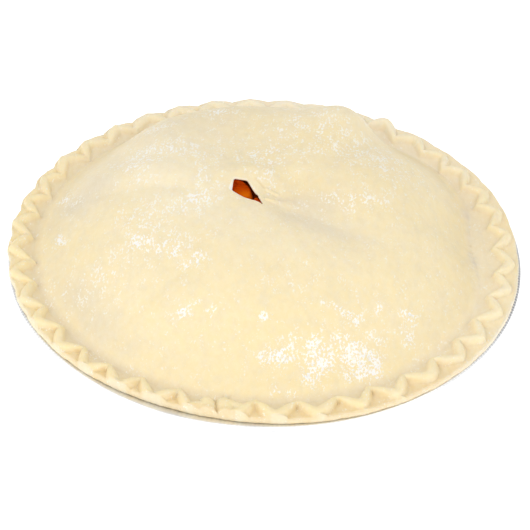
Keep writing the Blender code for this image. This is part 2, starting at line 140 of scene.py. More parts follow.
# The crimp
TEETH = 40
FIRST_TOOTH = -radians(17.86)
INNER_TIP_RADIUS = 0.1124
INNER_TIP_SWELLS = ((-0.0026, -85.0, 50.0), (-0.0015, 187.0, 28.0), (0.0004, 122.0, 58.0))
OUTER_BEND_RADIUS = 0.1190
OUTER_BEND_SWELL = (-0.0005, 122.0, 58.0)
# At the back left the crimp is at its narrowest and thickest, and its pockets are raised there and on the left
TIGHT = (1.0, 122.0, 58.0)
TIGHT_SCALLOP = 0.0032
TIGHT_WIDTH = 0.12
TIGHT_TIP_DROP = 0.0020
TIGHT_POCKET = 0.0014
LEFT_POCKET = (0.0010, 180.0, 60.0)
POCKET_WIDTH = 0.30
POCKET_START = 0.0022
POCKET_RUN = 0.0030
PHASE_SHIFT = (radians(1.2), 5.0, 20.0)
LOBE = (0.0024, 59.5, 3.4)
RIDGE_HALF_WIDTH = 0.0024
LEG_EXTRA_WIDTH = 0.0008
FOOT_REACH = 1.25
LEAST_STEP = 0.0004
BEND_ROUNDNESS = 0.60
ROPE_STEPS = 12
ROPE_NEAR = 0.0060
ROPE_WARPS = ((0.00028, 0.006, Vector((1.0, 5.0, 2.0))), (0.00028, 0.006, Vector((6.0, 3.0, 7.0))))
ROPE_ROUNDNESS = (2.6, 0.62)
ROPE_FILLET = (0.13, 0.80, 0.34)
# The rope's width and height at its inner tips and outer bends, and how far out it is full
ROPE_WIDTHS = (0.62, 1.08, 0.55)
ROPE_HEIGHTS = (0.88, 1.0, 0.40)
TIP_WANDER = 0.0009
BEND_WANDER = 0.0006
ANGLE_WANDER = radians(0.5)
HEIGHT_WANDER = 0.0004
WIDTH_WANDER = 0.12
CRIMP_SEED = 40
CLEFT_OFFSET = 0.0034
CLEFT_REACH = 0.0017
CLEFT_DEPTH = 0.0007
JOIN_TOOTH = 9
JOIN_TEETH = 0.42
JOIN_RADIUS = 0.1146
JOIN_HALF_WIDTH = 0.0036
JOIN_RUN = 0.2
# The lumps where the crimp's ends were pressed together: two ends, half width and share of the crimp's height
JOIN_LUMPS = {
    "left end": ((-0.0224, -0.1122), (-0.0220, -0.1182), 0.0036, 0.95),
    "right end": ((-0.0150, -0.1120), (-0.0138, -0.1182), 0.0040, 1.05),
    "right end's leg": ((-0.0138, -0.1126), (-0.0062, -0.1168), 0.0034, 1.00),
    "left end's leg": ((-0.0240, -0.1150), (-0.0285, -0.1152), 0.0026, 0.80),
}
JOIN_CREASE = ((-0.0187, -0.1105), (-0.0184, -0.1190), 0.0005, 0.60)

# The lid
LID_RADIUS = 0.1082
# The step at the right, the back right and the left side
LID_SWELLS = ((-0.0072, 3.5, 14.0), (0.0026, 36.0, 14.0), (0.0020, 145.0, 55.0))
FRONT_FULLNESS = 3.1
BACK_FULLNESS = 8.2
RIGHT_FULLNESS = 4.2
SHOULDER_SOFTNESS = 1.30
BACK_DIRECTION = radians(108.0)
BACK_SPREADS = (radians(24.0), radians(62.0))
BACK_DIP = (-1.2, 90.0, 17.0)
LEFT_DIP = (-4.0, 146.0, 18.0)
RIGHT_SIDE = (1.0, 18.0, 38.0)
CORNER = (4.2, 65.0, 8.5)
STEP_RISE = (0.0011, 3.5, 17.0)
STEP_RUN = 0.024
SHELF = (0.0007, 3.5, 14.0)
SHELF_RADIUS = 0.1078
SHELF_RUN = 0.0012
UNEVENNESS = 0.0011
UNEVEN_SIZE = 0.026
NOISE_ORIGIN = Vector((3.1, 7.7, 1.9))
# The lid's finest relief and the trough's raggedness: height, size of the lumps and origin
FINE_LUMPS = ((0.00034, 0.0095, NOISE_ORIGIN), (0.00012, 0.0042, NOISE_ORIGIN), (0.00005, 0.0019, NOISE_ORIGIN))
FINE_RUN = 0.05
RAGGED_LUMPS = ((0.00020, 0.0060, Vector((2.0, 9.0, 4.0))), (0.00010, 0.0024, NOISE_ORIGIN))
RAGGED_RUN = 0.003
RELIEF_RUN = 2.5

# Low mounds and hollows of the fruit under the lid: centre, reach and height
MOUNDS = {
    "back left mound": ((-0.047, 0.028), 0.019, 0.0022),
    "dimple on it": ((-0.042, 0.010), 0.008, -0.0014),
    "saddle at the back": ((-0.022, 0.054), 0.026, -0.0042),
    "back right mound": ((0.046, 0.036), 0.030, 0.0020),
    "back bulge": ((0.0410, 0.0800), 0.0150, 0.0044),
    "front mass": ((0.006, -0.026), 0.026, 0.0016),
    "right front mass": ((0.060, -0.044), 0.022, 0.0014),
    "upper right dent": ((0.0965, 0.0290), 0.0045, -0.0036),
    "lower right dent": ((0.0970, -0.0060), 0.0036, -0.0024),
}

# Pits in the dough: centre, reach and height
PITS = {
    "left pit": ((-0.0488, -0.0141), 0.0010, -0.0007),
    "middle pit": ((-0.0233, -0.0302), 0.0007, -0.0006),
    "right pit": ((0.0777, 0.0250), 0.0009, -0.0008),
}

# Soft lines in the dough: two ends, half width and height
LINES = {
    "diagonal fold": ((-0.031, -0.044), (-0.061, -0.069), 0.0026, -0.0005),
    "lip's crease": ((-0.0048, 0.0134), (-0.0008, 0.0080), 0.0007, -0.00030),
    "lip's fold": ((-0.0006, 0.0078), (0.0066, 0.0048), 0.0008, 0.00045),
    "lip's shadow": ((-0.0010, 0.0066), (0.0056, 0.0036), 0.0008, -0.00030),
}

# Painted shade on the lid: places drawn greyer, each with two ends, half width and strength
PAINTED_SHADES = {
    "valley": ((0.0040, -0.0085), (0.0450, -0.0240), 0.0068, 0.62),
    "upper dent": ((0.0980, 0.0345), (0.0992, 0.0265), 0.0024, 1.10),
    "left foot": ((-0.0940, -0.0360), (-0.0640, -0.0800), 0.0090, 0.60),
    "back slope": ((-0.0720, 0.0560), (-0.0080, 0.0760), 0.0200, 0.40),
    "left rear foot": ((-0.0760, 0.0300), (-0.0985, 0.0100), 0.0120, 0.95),
    "saddle": ((0.0100, 0.0020), (0.0350, -0.0030), 0.0080, 0.75),
    "lower dent": ((0.1000, -0.0015), (0.1006, -0.0085), 0.0020, 1.25),
}

# Painted warm shade on the lid: places drawn warmer and darker, each with two ends, half width and strength
PAINTED_WARM_SHADES = {
    "lip's crease": ((-0.0048, 0.0134), (-0.0008, 0.0080), 0.0006, 0.55),
    "saddle": ((0.0120, 0.0090), (0.0400, 0.0040), 0.0085, 0.14),
}

# The vent, a torn wedge: each edge has the direction that it faces from the vent's centre, and its distance
VENT_CENTRE = (-0.0085, 0.0037)
VENT_EDGES = {
    "near edge": (radians(-127.8), 0.0036),
    "lower far edge": (radians(18.5), 0.0038),
    "upper far edge": (radians(25.5), 0.0033),
    "top edge": (radians(84.0), 0.0088),
    "blunt end": (radians(176.1), 0.0078),
}
VENT_SHARPNESS = 14.0
VENT_BULGE = (0.0006, -18.0, 11.0)
# The cut round the vent, which is wider and deeper where the dough is torn, and how pale it is round the vent
VENT_TORN = (1.0, 166.0, 30.0)
VENT_CUT = 0.00035
VENT_CUT_DEPTH = 0.0004
VENT_TORN_CUT = 0.0010
VENT_TORN_DEPTH = 0.0003
VENT_CUT_UNEVENNESS = 0.00012
VENT_CUT_ROUND = 0.00025
VENT_CUT_SHARES = (0.0, 0.35, 0.7, 1.0)
VENT_CUT_STEP = 0.00006
# Below the cut: how far the outline grows, and how far down
VENT_CUT_FOOT = ((0.00003, 0.0004), (0.0006, 0.0008))
# Painted light on the vent's cut faces: its share everywhere and at the torn end, and more at the near edge
CUT_PAINTED_LIGHT_SHARES = (0.25, 0.75)
CUT_PAINTED_LIGHT_FRONT = (0.60, -110.0, 45.0)
VENT_BLEND_RADIUS = 0.050
VENT_GROWTH = 0.8
VENT_LIP_RADIUS = 0.0165
VENT_LIP_WIDTH = 0.0068
VENT_LIP_RISE = 0.0021
VENT_LIP_TURN = radians(25.0)
VENT_SINK = 0.0016
VENT_DOUGH = 0.0019
VENT_UNDERCUT = 0.0012
VENT_THIN_SHARE = 0.16

# The valley from the vent's point to the right
VALLEY_START = (0.0030, 0.0030)
VALLEY_SLOPE = -0.50
VALLEY_CURVE = 2.6
VALLEY_LENGTH = 0.062
VALLEY_IN = (4.0, 0.55)
VALLEY_OUT = 1.8
VALLEY_DEPTH = 0.0052
VALLEY_BACK_WIDTH = 0.0170
VALLEY_FRONT_WIDTHS = (0.0150, 0.0190)

# The filling
FILLING_DROP = 0.0026
FILLING_SHRINK = 0.996
FILLING_SHARES = (0.08, 0.2, 0.32, 0.44, 0.56, 0.68, 0.80, 0.92)
FILLING_UNEVENNESS = 0.0007
FILLING_UNEVEN_SIZE = 0.004
FILLING_LIP = (0.6, 0.3)
# Peach slices: centre, turn, half length, half width, half height, depth of the top under the lid's top
SLICES = {
    "peach_slice_large": ((-0.0124, 0.0060), radians(104.0), 0.0130, 0.0060, 0.0050, -0.0008),
    "peach_slice_small": ((-0.0028, -0.0020), radians(115.0), 0.0066, 0.0019, 0.0030, -0.0002),
}
# How far a slice's top stays below the lid's surface inside the vent, and below the dough outside it
SLICE_DROP = 0.00045
SLICE_CLEARANCE = 0.0001
SLICE_EDGE = 0.0003
# The fruit's crest and the distance it is measured in, the reach of the painted highlight round it, and how
# much lower the fruit is at a distance from there
SLICE_CREST = (-0.0098, 0.0030)
SLICE_CREST_REACH = 0.0070
SLICE_PAINTED_HIGHLIGHT_REACH = 0.55
SLICE_ROUND = 0.0013
# A slice's steps round and along, its lumps, how it narrows and thins towards its ends, and how far it
# bends and sinks there
SLICE_STEPS = (80, 64)
SLICE_LUMPS = 0.10
SLICE_NARROWING = 0.30
SLICE_THINNING = 0.18
SLICE_LUMP_SCALE = 1.6
SLICE_LUMP_SPREAD = 90.0
SLICE_BEND = 0.16
SLICE_SINK = 0.0022

# Flour on the lid: centre, reach along X, reach along Y and strength
FLOUR_PLACES = (
    # The cluster at the front
    ((0.0053, -0.0902), 0.0045, 0.0025, 1.00),
    ((0.0115, -0.0885), 0.0022, 0.0024, 0.90),
    ((0.0230, -0.0827), 0.0031, 0.0041, 0.55),
    ((0.0259, -0.0888), 0.0045, 0.0039, 0.95),
    ((0.0230, -0.0959), 0.0040, 0.0027, 1.00),
    ((0.0425, -0.0816), 0.0027, 0.0021, 1.00),
    ((0.0412, -0.0875), 0.0063, 0.0036, 0.85),
    ((0.0485, -0.0841), 0.0041, 0.0028, 0.95),
    ((0.0504, -0.0887), 0.0032, 0.0022, 0.90),
    ((0.0450, -0.0924), 0.0023, 0.0017, 0.90),
    ((0.0391, -0.0949), 0.0027, 0.0016, 0.60),
    ((0.0529, -0.0740), 0.0042, 0.0029, 0.50),
    ((0.0364, -0.0781), 0.0063, 0.0038, 0.55),
    ((0.0149, -0.0816), 0.0036, 0.0033, 0.50),
    # Streaks and stars right of it
    ((0.0664, -0.0690), 0.0042, 0.0041, 0.55),
    ((0.0668, -0.0601), 0.0026, 0.0025, 1.00),
    ((0.0528, -0.0610), 0.0016, 0.0018, 0.85),
    # Flecks behind it and in the trough before it
    ((0.0376, -0.0675), 0.0027, 0.0020, 0.90),
    ((0.0432, -0.0692), 0.0023, 0.0023, 0.70),
    ((0.0321, -0.0652), 0.0018, 0.0016, 0.70),
    ((0.0271, -0.0629), 0.0014, 0.0016, 0.60),
    ((0.0192, -0.0559), 0.0100, 0.0050, 0.28),
    ((0.0011, -0.0737), 0.0022, 0.0016, 0.80),
    ((0.0076, -0.1033), 0.0022, 0.0012, 0.60),
    ((0.0148, -0.1039), 0.0027, 0.0012, 0.60),
    # Flecks on the left
    ((-0.0301, -0.0428), 0.0028, 0.0029, 0.80),
    ((-0.0353, -0.0471), 0.0019, 0.0023, 0.55),
    ((-0.0359, -0.0701), 0.0027, 0.0023, 0.85),
    ((-0.0223, -0.0712), 0.0023, 0.0017, 0.75),
    ((-0.0302, -0.0666), 0.0018, 0.0013, 0.50),
    # Streaks at the back
    ((-0.0262, 0.0771), 0.0055, 0.0029, 0.90),
    ((-0.0234, 0.0678), 0.0015, 0.0027, 0.70),
    ((-0.0552, 0.0644), 0.0067, 0.0035, 0.70),
    # The veil over the left mound, with flecks
    ((-0.0467, 0.0390), 0.0125, 0.0077, 0.55),
    ((-0.0637, 0.0305), 0.0070, 0.0125, 0.50),
    ((-0.0301, 0.0168), 0.0053, 0.0107, 0.45),
    ((-0.0311, -0.0029), 0.0076, 0.0055, 0.50),
    ((-0.0541, -0.0116), 0.0143, 0.0108, 0.42),
    ((-0.0481, -0.0333), 0.0121, 0.0071, 0.45),
    ((-0.0583, -0.0270), 0.0024, 0.0026, 0.85),
    ((-0.0405, -0.0360), 0.0019, 0.0025, 0.60),
    # Streaks and flecks at the far left
    ((-0.0979, 0.0252), 0.0033, 0.0027, 0.70),
    ((-0.0921, 0.0163), 0.0027, 0.0029, 0.50),
    ((-0.0968, -0.0106), 0.0021, 0.0028, 0.95),
    ((-0.0984, -0.0046), 0.0013, 0.0020, 0.60),
    # Thin veils elsewhere
    ((-0.0774, -0.0461), 0.0145, 0.0098, 0.30),
    ((-0.0062, 0.0407), 0.0196, 0.0195, 0.22),
    ((0.0155, 0.0676), 0.0149, 0.0115, 0.40),
    ((0.0379, 0.0485), 0.0173, 0.0127, 0.42),
    ((0.0600, 0.0365), 0.0136, 0.0185, 0.36),
    ((0.0399, 0.0023), 0.0142, 0.0046, 0.45),
    ((0.0006, 0.0164), 0.0067, 0.0052, 0.30),
    ((-0.0012, 0.0349), 0.0126, 0.0071, 0.30),
    ((0.0950, 0.0620), 0.0092, 0.0114, 0.30),
)
FLOUR_SEED = 17
FLOUR_BATCH = 60
FLOUR_MOST = 0.86
FLOUR_LID_RADIUS = 0.1085
# The share of the flour that the back lacks, and where that starts
FLOUR_BACK_LOSS = 0.22
FLOUR_BACK = (0.025, 0.030)
# How much wider than its patches the dust reaches
DUST_REACH = 1.35
# The clumps: the strength of flour that has them, their scatter over a patch and their size and form,
# and the size of the tufts that they gather in
CLUMPED = 0.5
CLUMP_SCATTER = 0.95
CLUMP_RADIUS = 0.00008
CLUMP_RADIUS_RANGE = 0.00020
CLUMP_TURNS = ((-0.4, 0.4), (-0.4, 0.4), (0.0, tau))
CLUMP_STRETCHES = ((0.8, 1.7), (0.7, 1.1))
CLUMP_FLATNESS = 0.55
CLUMP_LIFT = 0.15
TUFT_SIZE = 0.0013
TUFT_STRETCH = 0.6
TUFT_EDGE = 0.28
# The thin film of flour, thickest on the left mound, in the same form, and its swells round the rim
FILMS = (
    ((-0.050, 0.028), 0.032, 0.032, 0.19),
    ((-0.032, -0.010), 0.020, 0.013, 0.14),
    ((0.030, 0.088), 0.030, 0.020, 0.16),
    ((0.014, -0.024), 0.036, 0.018, 0.10),
)
RIM_FILMS = ((0.34, 80.0, 46.0), (0.17, -20.0, 34.0))
# The warmer colour along the lid's front slope, in the form of the flour's patches
FRONT_WARMTH = (((0.010, -0.086), 0.060, 0.034, 0.85),)

# The band's colours: how much painted warm shade the crimp's foot and its clefts get, how warm the strip
# outside its front is, how grey the trough is with the pressed dough's own grey and painted shade, how much
# painted shade the edge's side gets, and how much of the rim's warmth the back lacks
FOOT_PAINTED_SHADE = 0.45
FOOT_PLACE = 0.12
FOOT_WIDTH = 0.16
CLEFT_PAINTED_SHADE = 0.8
STRIP_WARMTH = 0.64
STRIP_START = 0.0016
STRIP_FRONT = -0.45
STRIP_RUN = 0.35
TROUGH_SHADE = 0.70
TROUGH_SHADE_RADIUS = 0.1175
TROUGH_SHADE_RUN = 0.004
PALER_TROUGH = (0.55, -18.0, 32.0)
SIDE_SHADE = 0.8
RIM_BACK_LOSS = 0.85
RIM_BACK = (0.10, 0.60)

# The dough's colour layers, in order: painted warm shade, the trough's grey with painted shade, flour, a film
# of flour, warmth, and painted light on the vent's cut faces
DOUGH_LAYERS = ("crease", "pressed_grey_and_painted_shade", "flour", "film", "rim", "painted_cut_light")

# Steps of the webs
BAND_STEPS = 24 * TEETH
LID_STEPS = 12 * TEETH
LOW_STEPS = 3 * TEETH
LID_RINGS = (72, 34)
LID_TURN_RADIUS = 0.0200
LID_FOOT_SHARE = 0.965
UNDER_SHARES = (0.0, 0.06, 0.16, 0.30, 0.45, 0.60, 0.74, 0.84, 0.91, 0.955)
DIFFERENCE_STEP = 0.0005

# The camera: how far up it stands, how far off, its focal length in pixels of the frame, its turn, and the
# place over the foot's centre that it looks at
VIEW_ELEVATION = radians(39.38)
VIEW_DISTANCE = 0.98646
VIEW_FOCAL = 2057.0
VIEW_ROLL = radians(2.09)
VIEW_OFFSET = (0.000738, -0.010086)
VIEW_PLANE = 0.0275
FRAME_PIXELS = 530.0
SENSOR = 36.0

# The white lamps: place, side and power
LAMPS = {
    "front": ((0.0, -0.95, 0.86), 1.4, 4.1),
    "left": ((-0.90, -0.30, 0.90), 1.2, 4.4),
    "right": ((0.90, -0.30, 0.90), 0.8, 2.5),
}
BACKDROP_STRENGTH = 0.63
FLOOR_GLOW = 0.50
FLOOR_REACH = 6.0
WHITE = (1.0, 1.0, 1.0, 1.0)


class PieSizes(bpy.types.PropertyGroup):
    rim_radius: FloatProperty(
        name="Rim radius", description="Outer radius of the tin", default=0.124, unit="LENGTH"
    )
    flange_top: FloatProperty(
        name="Flange height", description="Height of the tin's flange over its foot",
        default=0.0285, unit="LENGTH",
    )
    dough: FloatProperty(
        name="Dough", description="Thickness of the rolled lid", default=0.0033, unit="LENGTH"
    )
    lid_rise: FloatProperty(
        name="Lid rise", description="Height of the lid's top over the band", default=0.0292, unit="LENGTH"
    )
    ridge_height: FloatProperty(
        name="Crimp height", description="Height of the crimped ridge", default=0.0034, unit="LENGTH"
    )
    rope_half_width: FloatProperty(
        name="Crimp half width", description="Half the thickness of the crimped ridge",
        default=0.0025, unit="LENGTH",
    )
    vent_size: FloatProperty(
        name="Vent size", description="Size of the steam vent, as a share of the usual", default=1.0
    )
    serrations: IntProperty(
        name="Serrations", description="Fine teeth round the tin's rolled bead", default=396
    )
    flour_grains: IntProperty(
        name="Flour grains", description="Number of flour clumps on the dough", default=2400
    )


class PieColours(bpy.types.PropertyGroup):
    dough: FloatVectorProperty(
        name="Dough", description="The dough's own colour", default=(0.930, 0.785, 0.490), subtype="COLOR"
    )
    dough_warm: FloatVectorProperty(
        name="Warm dough", description="Blotches of richer dough",
        default=(0.930, 0.768, 0.430), subtype="COLOR",
    )
    # Painted warm shade: the colour drawn into the crimp's foot, clefts and join, the strip outside its front
    # and the lid's warm shaded places
    crease: FloatVectorProperty(
        name="Creases", description="Dough in the creases of the crimp",
        default=(0.800, 0.600, 0.300), subtype="COLOR",
    )
    # The pressed dough's own grey, which also paints shade into the trough, onto the edge's side and over the
    # lid's shaded places
    trough: FloatVectorProperty(
        name="Trough", description="Pressed dough round the lid", default=(0.735, 0.655, 0.515), subtype="COLOR"
    )
    flour: FloatVectorProperty(
        name="Flour", description="Flour on the dough", default=(0.985, 0.962, 0.905), subtype="COLOR"
    )
    peach: FloatVectorProperty(
        name="Peach", description="Peach flesh", default=(0.490, 0.049, 0.0006), subtype="COLOR"
    )
    # The painted highlight near the fruit's crest
    peach_painted_highlight: FloatVectorProperty(
        name="Peach crest", description="The lightest flesh", default=(0.640, 0.125, 0.002), subtype="COLOR"
    )
    # Dark syrup: it darkens the fibres, and over the filling's body it is dark syrup and painted shade between
    # the slices
    syrup: FloatVectorProperty(
        name="Syrup", description="Syrup between the slices", default=(0.080, 0.014, 0.003), subtype="COLOR"
    )
    foil: FloatVectorProperty(
        name="Foil", description="Bare foil", default=(0.950, 0.952, 0.955), subtype="COLOR"
    )
    # The colour of the painted shade and dark reflection in the bead's grooves and on the wall
    foil_painted_shade: FloatVectorProperty(
        name="Foil groove", description="The foil between the bead's teeth",
        default=(0.090, 0.100, 0.115), subtype="COLOR",
    )
    floor: FloatVectorProperty(
        name="Floor", description="The pale floor", default=(0.95, 0.95, 0.95), subtype="COLOR"
    )


def sizes():
    return bpy.context.scene.pie_sizes


def colours():
    return bpy.context.scene.pie_colours


def bell(distance, reach):
    return np.exp(-((distance / reach) ** 2))


def turn_between(angle, other):
    """The signed angle from one direction to another, from -pi to pi."""
    return (angle - other + pi) % tau - pi


def mix(a, b, share):
    return a + (b - a) * share


def smooth_step(value):
    value = np.clip(value, 0.0, 1.0)
    return value * value * (3.0 - 2.0 * value)


def swell(angle, height, direction, spread):
    """A smooth swell round one direction; the direction and the spread are in degrees."""
    return height * bell(turn_between(angle, radians(direction)), radians(spread))


def swells(angle, table, start=0.0):
    return sum((swell(angle, *row) for row in table), start)


def hills(x, y, table):
    """The sum of round hills, each with its centre, reach and height."""
    total = np.zeros(np.shape(x))
    for spot, reach, height in table.values():
        total = total + height * bell(np.hypot(x - spot[0], y - spot[1]), reach)
    return total


def lumps(x, y, table):
    """The sum of layers of noise, each with its height, the size of its lumps and its origin."""
    return sum(height * uneven(x, y, size, origin) for height, size, origin in table)


def patches(x, y, table, widen=1.0):
    """The sum of oval patches, each with its centre, reach along X, reach along Y and strength."""
    total = np.zeros(np.shape(x))
    for (place_x, place_y), reach_x, reach_y, strength in table:
        away_x = (x - place_x) / (widen * reach_x)
        away_y = (y - place_y) / (widen * reach_y)
        total = total + strength * np.exp(-(away_x**2) - away_y**2)
    return total


def line_distance(x, y, start, end):
    """The distance from a segment of the plan, and the share of the way along it."""
    run = (end[0] - start[0], end[1] - start[1])
    share = ((x - start[0]) * run[0] + (y - start[1]) * run[1]) / (run[0] ** 2 + run[1] ** 2)
    share = np.clip(share, 0.0, 1.0)
    return np.hypot(x - start[0] - run[0] * share, y - start[1] - run[1] * share), share


def strokes(x, y, table, least=1.0, taper=1.0):
    """The sum of strokes along segments, which fade to the least share at their ends."""
    total = np.zeros(np.shape(x))
    for start, end, half_width, height in table.values():
        distance, along = line_distance(x, y, start, end)
        fade = mix(least, 1.0, smooth_step(taper * along * (1.0 - along)))
        total = total + height * bell(distance, half_width) * fade
    return total


def uneven(x, y, size, origin=NOISE_ORIGIN):
    """Smooth noise over the plan, from -1 to 1, with lumps of about the given size."""
    spots = zip(np.ravel(x).tolist(), np.ravel(y).tolist())
    values = [noise.noise(Vector((a / size, b / size, 0.0)) + origin) for a, b in spots]
    return np.array(values).reshape(np.shape(x))


def ring_angles(steps):
    return np.arange(steps) * tau / steps


def band_top():
    return sizes().flange_top + GAP + BAND_THICKNESS


def trough_bottom():
    return band_top() - TROUGH_DROP


# The lid's height


def lid_radius(angle):
    return swells(angle, LID_SWELLS, LID_RADIUS)


def valley_depth(x, y):
    along = x - VALLEY_START[0]
    across = y - (VALLEY_START[1] + VALLEY_SLOPE * along + VALLEY_CURVE * along * along)
    share = along / VALLEY_LENGTH
    width = np.where(across > 0.0, VALLEY_BACK_WIDTH, mix(*VALLEY_FRONT_WIDTHS, smooth_step(share)))
    fade = smooth_step(share * VALLEY_IN[0] + VALLEY_IN[1]) * smooth_step((1.0 - share) * VALLEY_OUT)
    return VALLEY_DEPTH * fade * bell(across, width)


def ring_polar(x, y):
    dx = x - RING_CENTRE[0]
    dy = y - RING_CENTRE[1]
    return np.hypot(dx, dy), np.arctan2(dy, dx)


def ring_places(radius, angle):
    return RING_CENTRE[0] + radius * np.cos(angle), RING_CENTRE[1] + radius * np.sin(angle)


def from_vent(x, y):
    """The distance and direction from the vent's centre."""
    dx = x - VENT_CENTRE[0]
    dy = y - VENT_CENTRE[1]
    return np.hypot(dx, dy), np.arctan2(dy, dx)


def lid_height(x, y):
    """The height of the lid's upper face over the tin's foot, without its finest relief."""
    radius, angle = ring_polar(x, y)
    share = np.minimum(radius / lid_radius(angle), 1.0)
    full, plain = (cos(spread) for spread in BACK_SPREADS)
    backness = smooth_step((np.cos(angle - BACK_DIRECTION) - plain) / (full - plain))
    fullness = mix(FRONT_FULLNESS, BACK_FULLNESS, backness) + swell(angle, *BACK_DIP)
    fullness = fullness + backness * swell(angle, *LEFT_DIP)
    fullness = mix(fullness, RIGHT_FULLNESS, swell(angle, *RIGHT_SIDE)) + swell(angle, *CORNER)
    dome = (1.0 - share**fullness) ** SHOULDER_SOFTNESS
    relief = hills(x, y, MOUNDS) - valley_depth(x, y) + UNEVENNESS * uneven(x, y, UNEVEN_SIZE)
    away, direction = from_vent(x, y)
    behind = smooth_step(0.5 + 0.5 * np.sin(direction + VENT_LIP_TURN))
    relief = relief + VENT_LIP_RISE * behind * bell(away - VENT_LIP_RADIUS, VENT_LIP_WIDTH)
    relief = relief - VENT_SINK * bell(away, VENT_LIP_WIDTH)
    relief = relief * np.minimum(dome * RELIEF_RUN, 1.0)
    return trough_bottom() + (sizes().lid_rise + TROUGH_DROP) * dome + relief


def lid_surface(x, y):
    """The lid's upper face with its finest relief."""
    radius, angle = ring_polar(x, y)
    inwards = 1.0 - radius / lid_radius(angle)
    fine = lumps(x, y, FINE_LUMPS) + hills(x, y, PITS) + strokes(x, y, LINES, 0.0, 9.0)
    step = swell(angle, *STEP_RISE) * smooth_step(inwards / STEP_RUN)
    return lid_height(x, y) + fine * smooth_step(inwards / FINE_RUN) + step


# The vent and the plan of the lid's rings


def vent_reach(angle):
    """How far the vent's outline is from its centre: the edges are straight and the corners rounded."""
    reach = 0.0
    for direction, distance in VENT_EDGES.values():
        reach = reach + (np.maximum(np.cos(angle - direction), 0.0) / distance) ** VENT_SHARPNESS
    return sizes().vent_size * (reach ** (-1.0 / VENT_SHARPNESS) + swell(angle, *VENT_BULGE))


def vent_outline(angle, grow=0.0):
    """A ring of the vent, or of one that is larger all round."""
    length = vent_reach(angle) + grow
    return VENT_CENTRE[0] + length * np.cos(angle), VENT_CENTRE[1] + length * np.sin(angle)


def lid_plan(radius, angle, grow=0.0):
    """The plan of a ring of the lid: a circle far out, the vent's outline at the innermost ring."""
    share = smooth_step(radius / VENT_BLEND_RADIUS)
    near_x, near_y = vent_outline(angle, grow + VENT_GROWTH * radius)
    far_x, far_y = ring_places(radius, angle)
    return mix(near_x, far_x, share), mix(near_y, far_y, share)


# The crimp


def crimp_table():
    """Each tooth's own radius, angle and height, a little unlike its neighbours'."""
    draw = Random(CRIMP_SEED)
    return np.array([[draw.uniform(-1.0, 1.0) for _ in range(3)] for _ in range(2 * TEETH)])


CRIMP_TABLE = crimp_table()


def tooth_share(angle):
    """The place along the zigzag in teeth: whole numbers are inner tips and halves are outer bends."""
    return ((FIRST_TOOTH + swell(angle, *PHASE_SHIFT) - angle) / tau * TEETH) % TEETH


def tooth_angle(tooth):
    angle = FIRST_TOOTH - tooth * tau / TEETH
    return angle + swell(angle, *PHASE_SHIFT)


def wander(tooth, column):
    place = 2.0 * tooth
    first = np.floor(place).astype(int)
    values = CRIMP_TABLE[:, column]
    return mix(values[first % (2 * TEETH)], values[(first + 1) % (2 * TEETH)], smooth_step(place - first))


def zigzag(tooth):
    straight = 1.0 - np.abs(2.0 * (tooth - np.floor(tooth)) - 1.0)
    return mix(straight, np.abs(np.sin(pi * tooth)), BEND_ROUNDNESS)


def inner_tip_radius(angle):
    return INNER_TIP_RADIUS + swells(angle, INNER_TIP_SWELLS)


def crest_radius(angle, tooth):
    """The radius of the crimp's crest, between its inner tips and outer bends, which all wander a little."""
    inner = inner_tip_radius(angle) + TIP_WANDER * wander(tooth, 0)
    outer = OUTER_BEND_RADIUS + swell(angle, *OUTER_BEND_SWELL) + BEND_WANDER * wander(tooth, 0)
    return mix(inner, outer, zigzag(tooth))


def ridge_line(angle):
    """The ridge's radius and its half width along the radius."""
    tooth = tooth_share(angle)
    tooth = tooth + ANGLE_WANDER / tau * TEETH * wander(tooth, 1)
    half_width = RIDGE_HALF_WIDTH + LEG_EXTRA_WIDTH * np.abs(np.sin(2.0 * pi * tooth))
    join = smooth_step(0.5 + (0.5 - np.abs(tooth - JOIN_TOOTH)) / JOIN_RUN)
    return mix(crest_radius(angle, tooth), JOIN_RADIUS, join), mix(half_width, JOIN_HALF_WIDTH, join)


def rope_path():
    """Points in order along the crimp's crest, but for the join, each with its half width and height."""
    tooth = np.arange(TEETH * ROPE_STEPS) / ROPE_STEPS
    tooth = tooth[np.abs(tooth - JOIN_TOOTH) > JOIN_TEETH]
    angle = FIRST_TOOTH - tooth * tau / TEETH + ANGLE_WANDER * wander(tooth, 1)
    angle = angle + swell(angle, *PHASE_SHIFT)
    out, own, tight = zigzag(tooth), wander(tooth, 2), swell(angle, *TIGHT)
    tip, bend, turn = ROPE_WIDTHS
    half_width = sizes().rope_half_width * mix(tip, bend, smooth_step(out / turn))
    half_width = half_width * (1.0 + WIDTH_WANDER * own) * (1.0 + TIGHT_WIDTH * tight)
    tip, bend, turn = ROPE_HEIGHTS
    height = sizes().ridge_height * mix(tip, bend, smooth_step(out / turn)) + HEIGHT_WANDER * own
    height = height + swell(angle, *LOBE) - TIGHT_TIP_DROP * tight * (1.0 - out)
    x, y = ring_places(crest_radius(angle, tooth), angle)
    return np.stack([x, y, half_width, height], 1).tolist()


def rope_profile(u):
    """The rope's height across it: round on top, with a small fillet at its foot."""
    side, crown = ROPE_ROUNDNESS
    top = (1.0 - np.clip(u, 0.0, 1.0) ** side) ** crown
    height, place, width = ROPE_FILLET
    return np.maximum(top, height * bell(u - place, width) * (u > place))


def join_block(x, y):
    """The lumps where the ends of the crimp were pressed together, with the crease between them."""
    height = np.zeros(np.shape(x))
    for start, end, half_width, share in JOIN_LUMPS.values():
        distance, _ = line_distance(x, y, start, end)
        height = np.maximum(height, share * sizes().ridge_height * rope_profile(distance / half_width))
    start, end, half_width, depth = JOIN_CREASE
    crease = bell(line_distance(x, y, start, end)[0], half_width)
    return height * (1.0 - depth * crease), crease


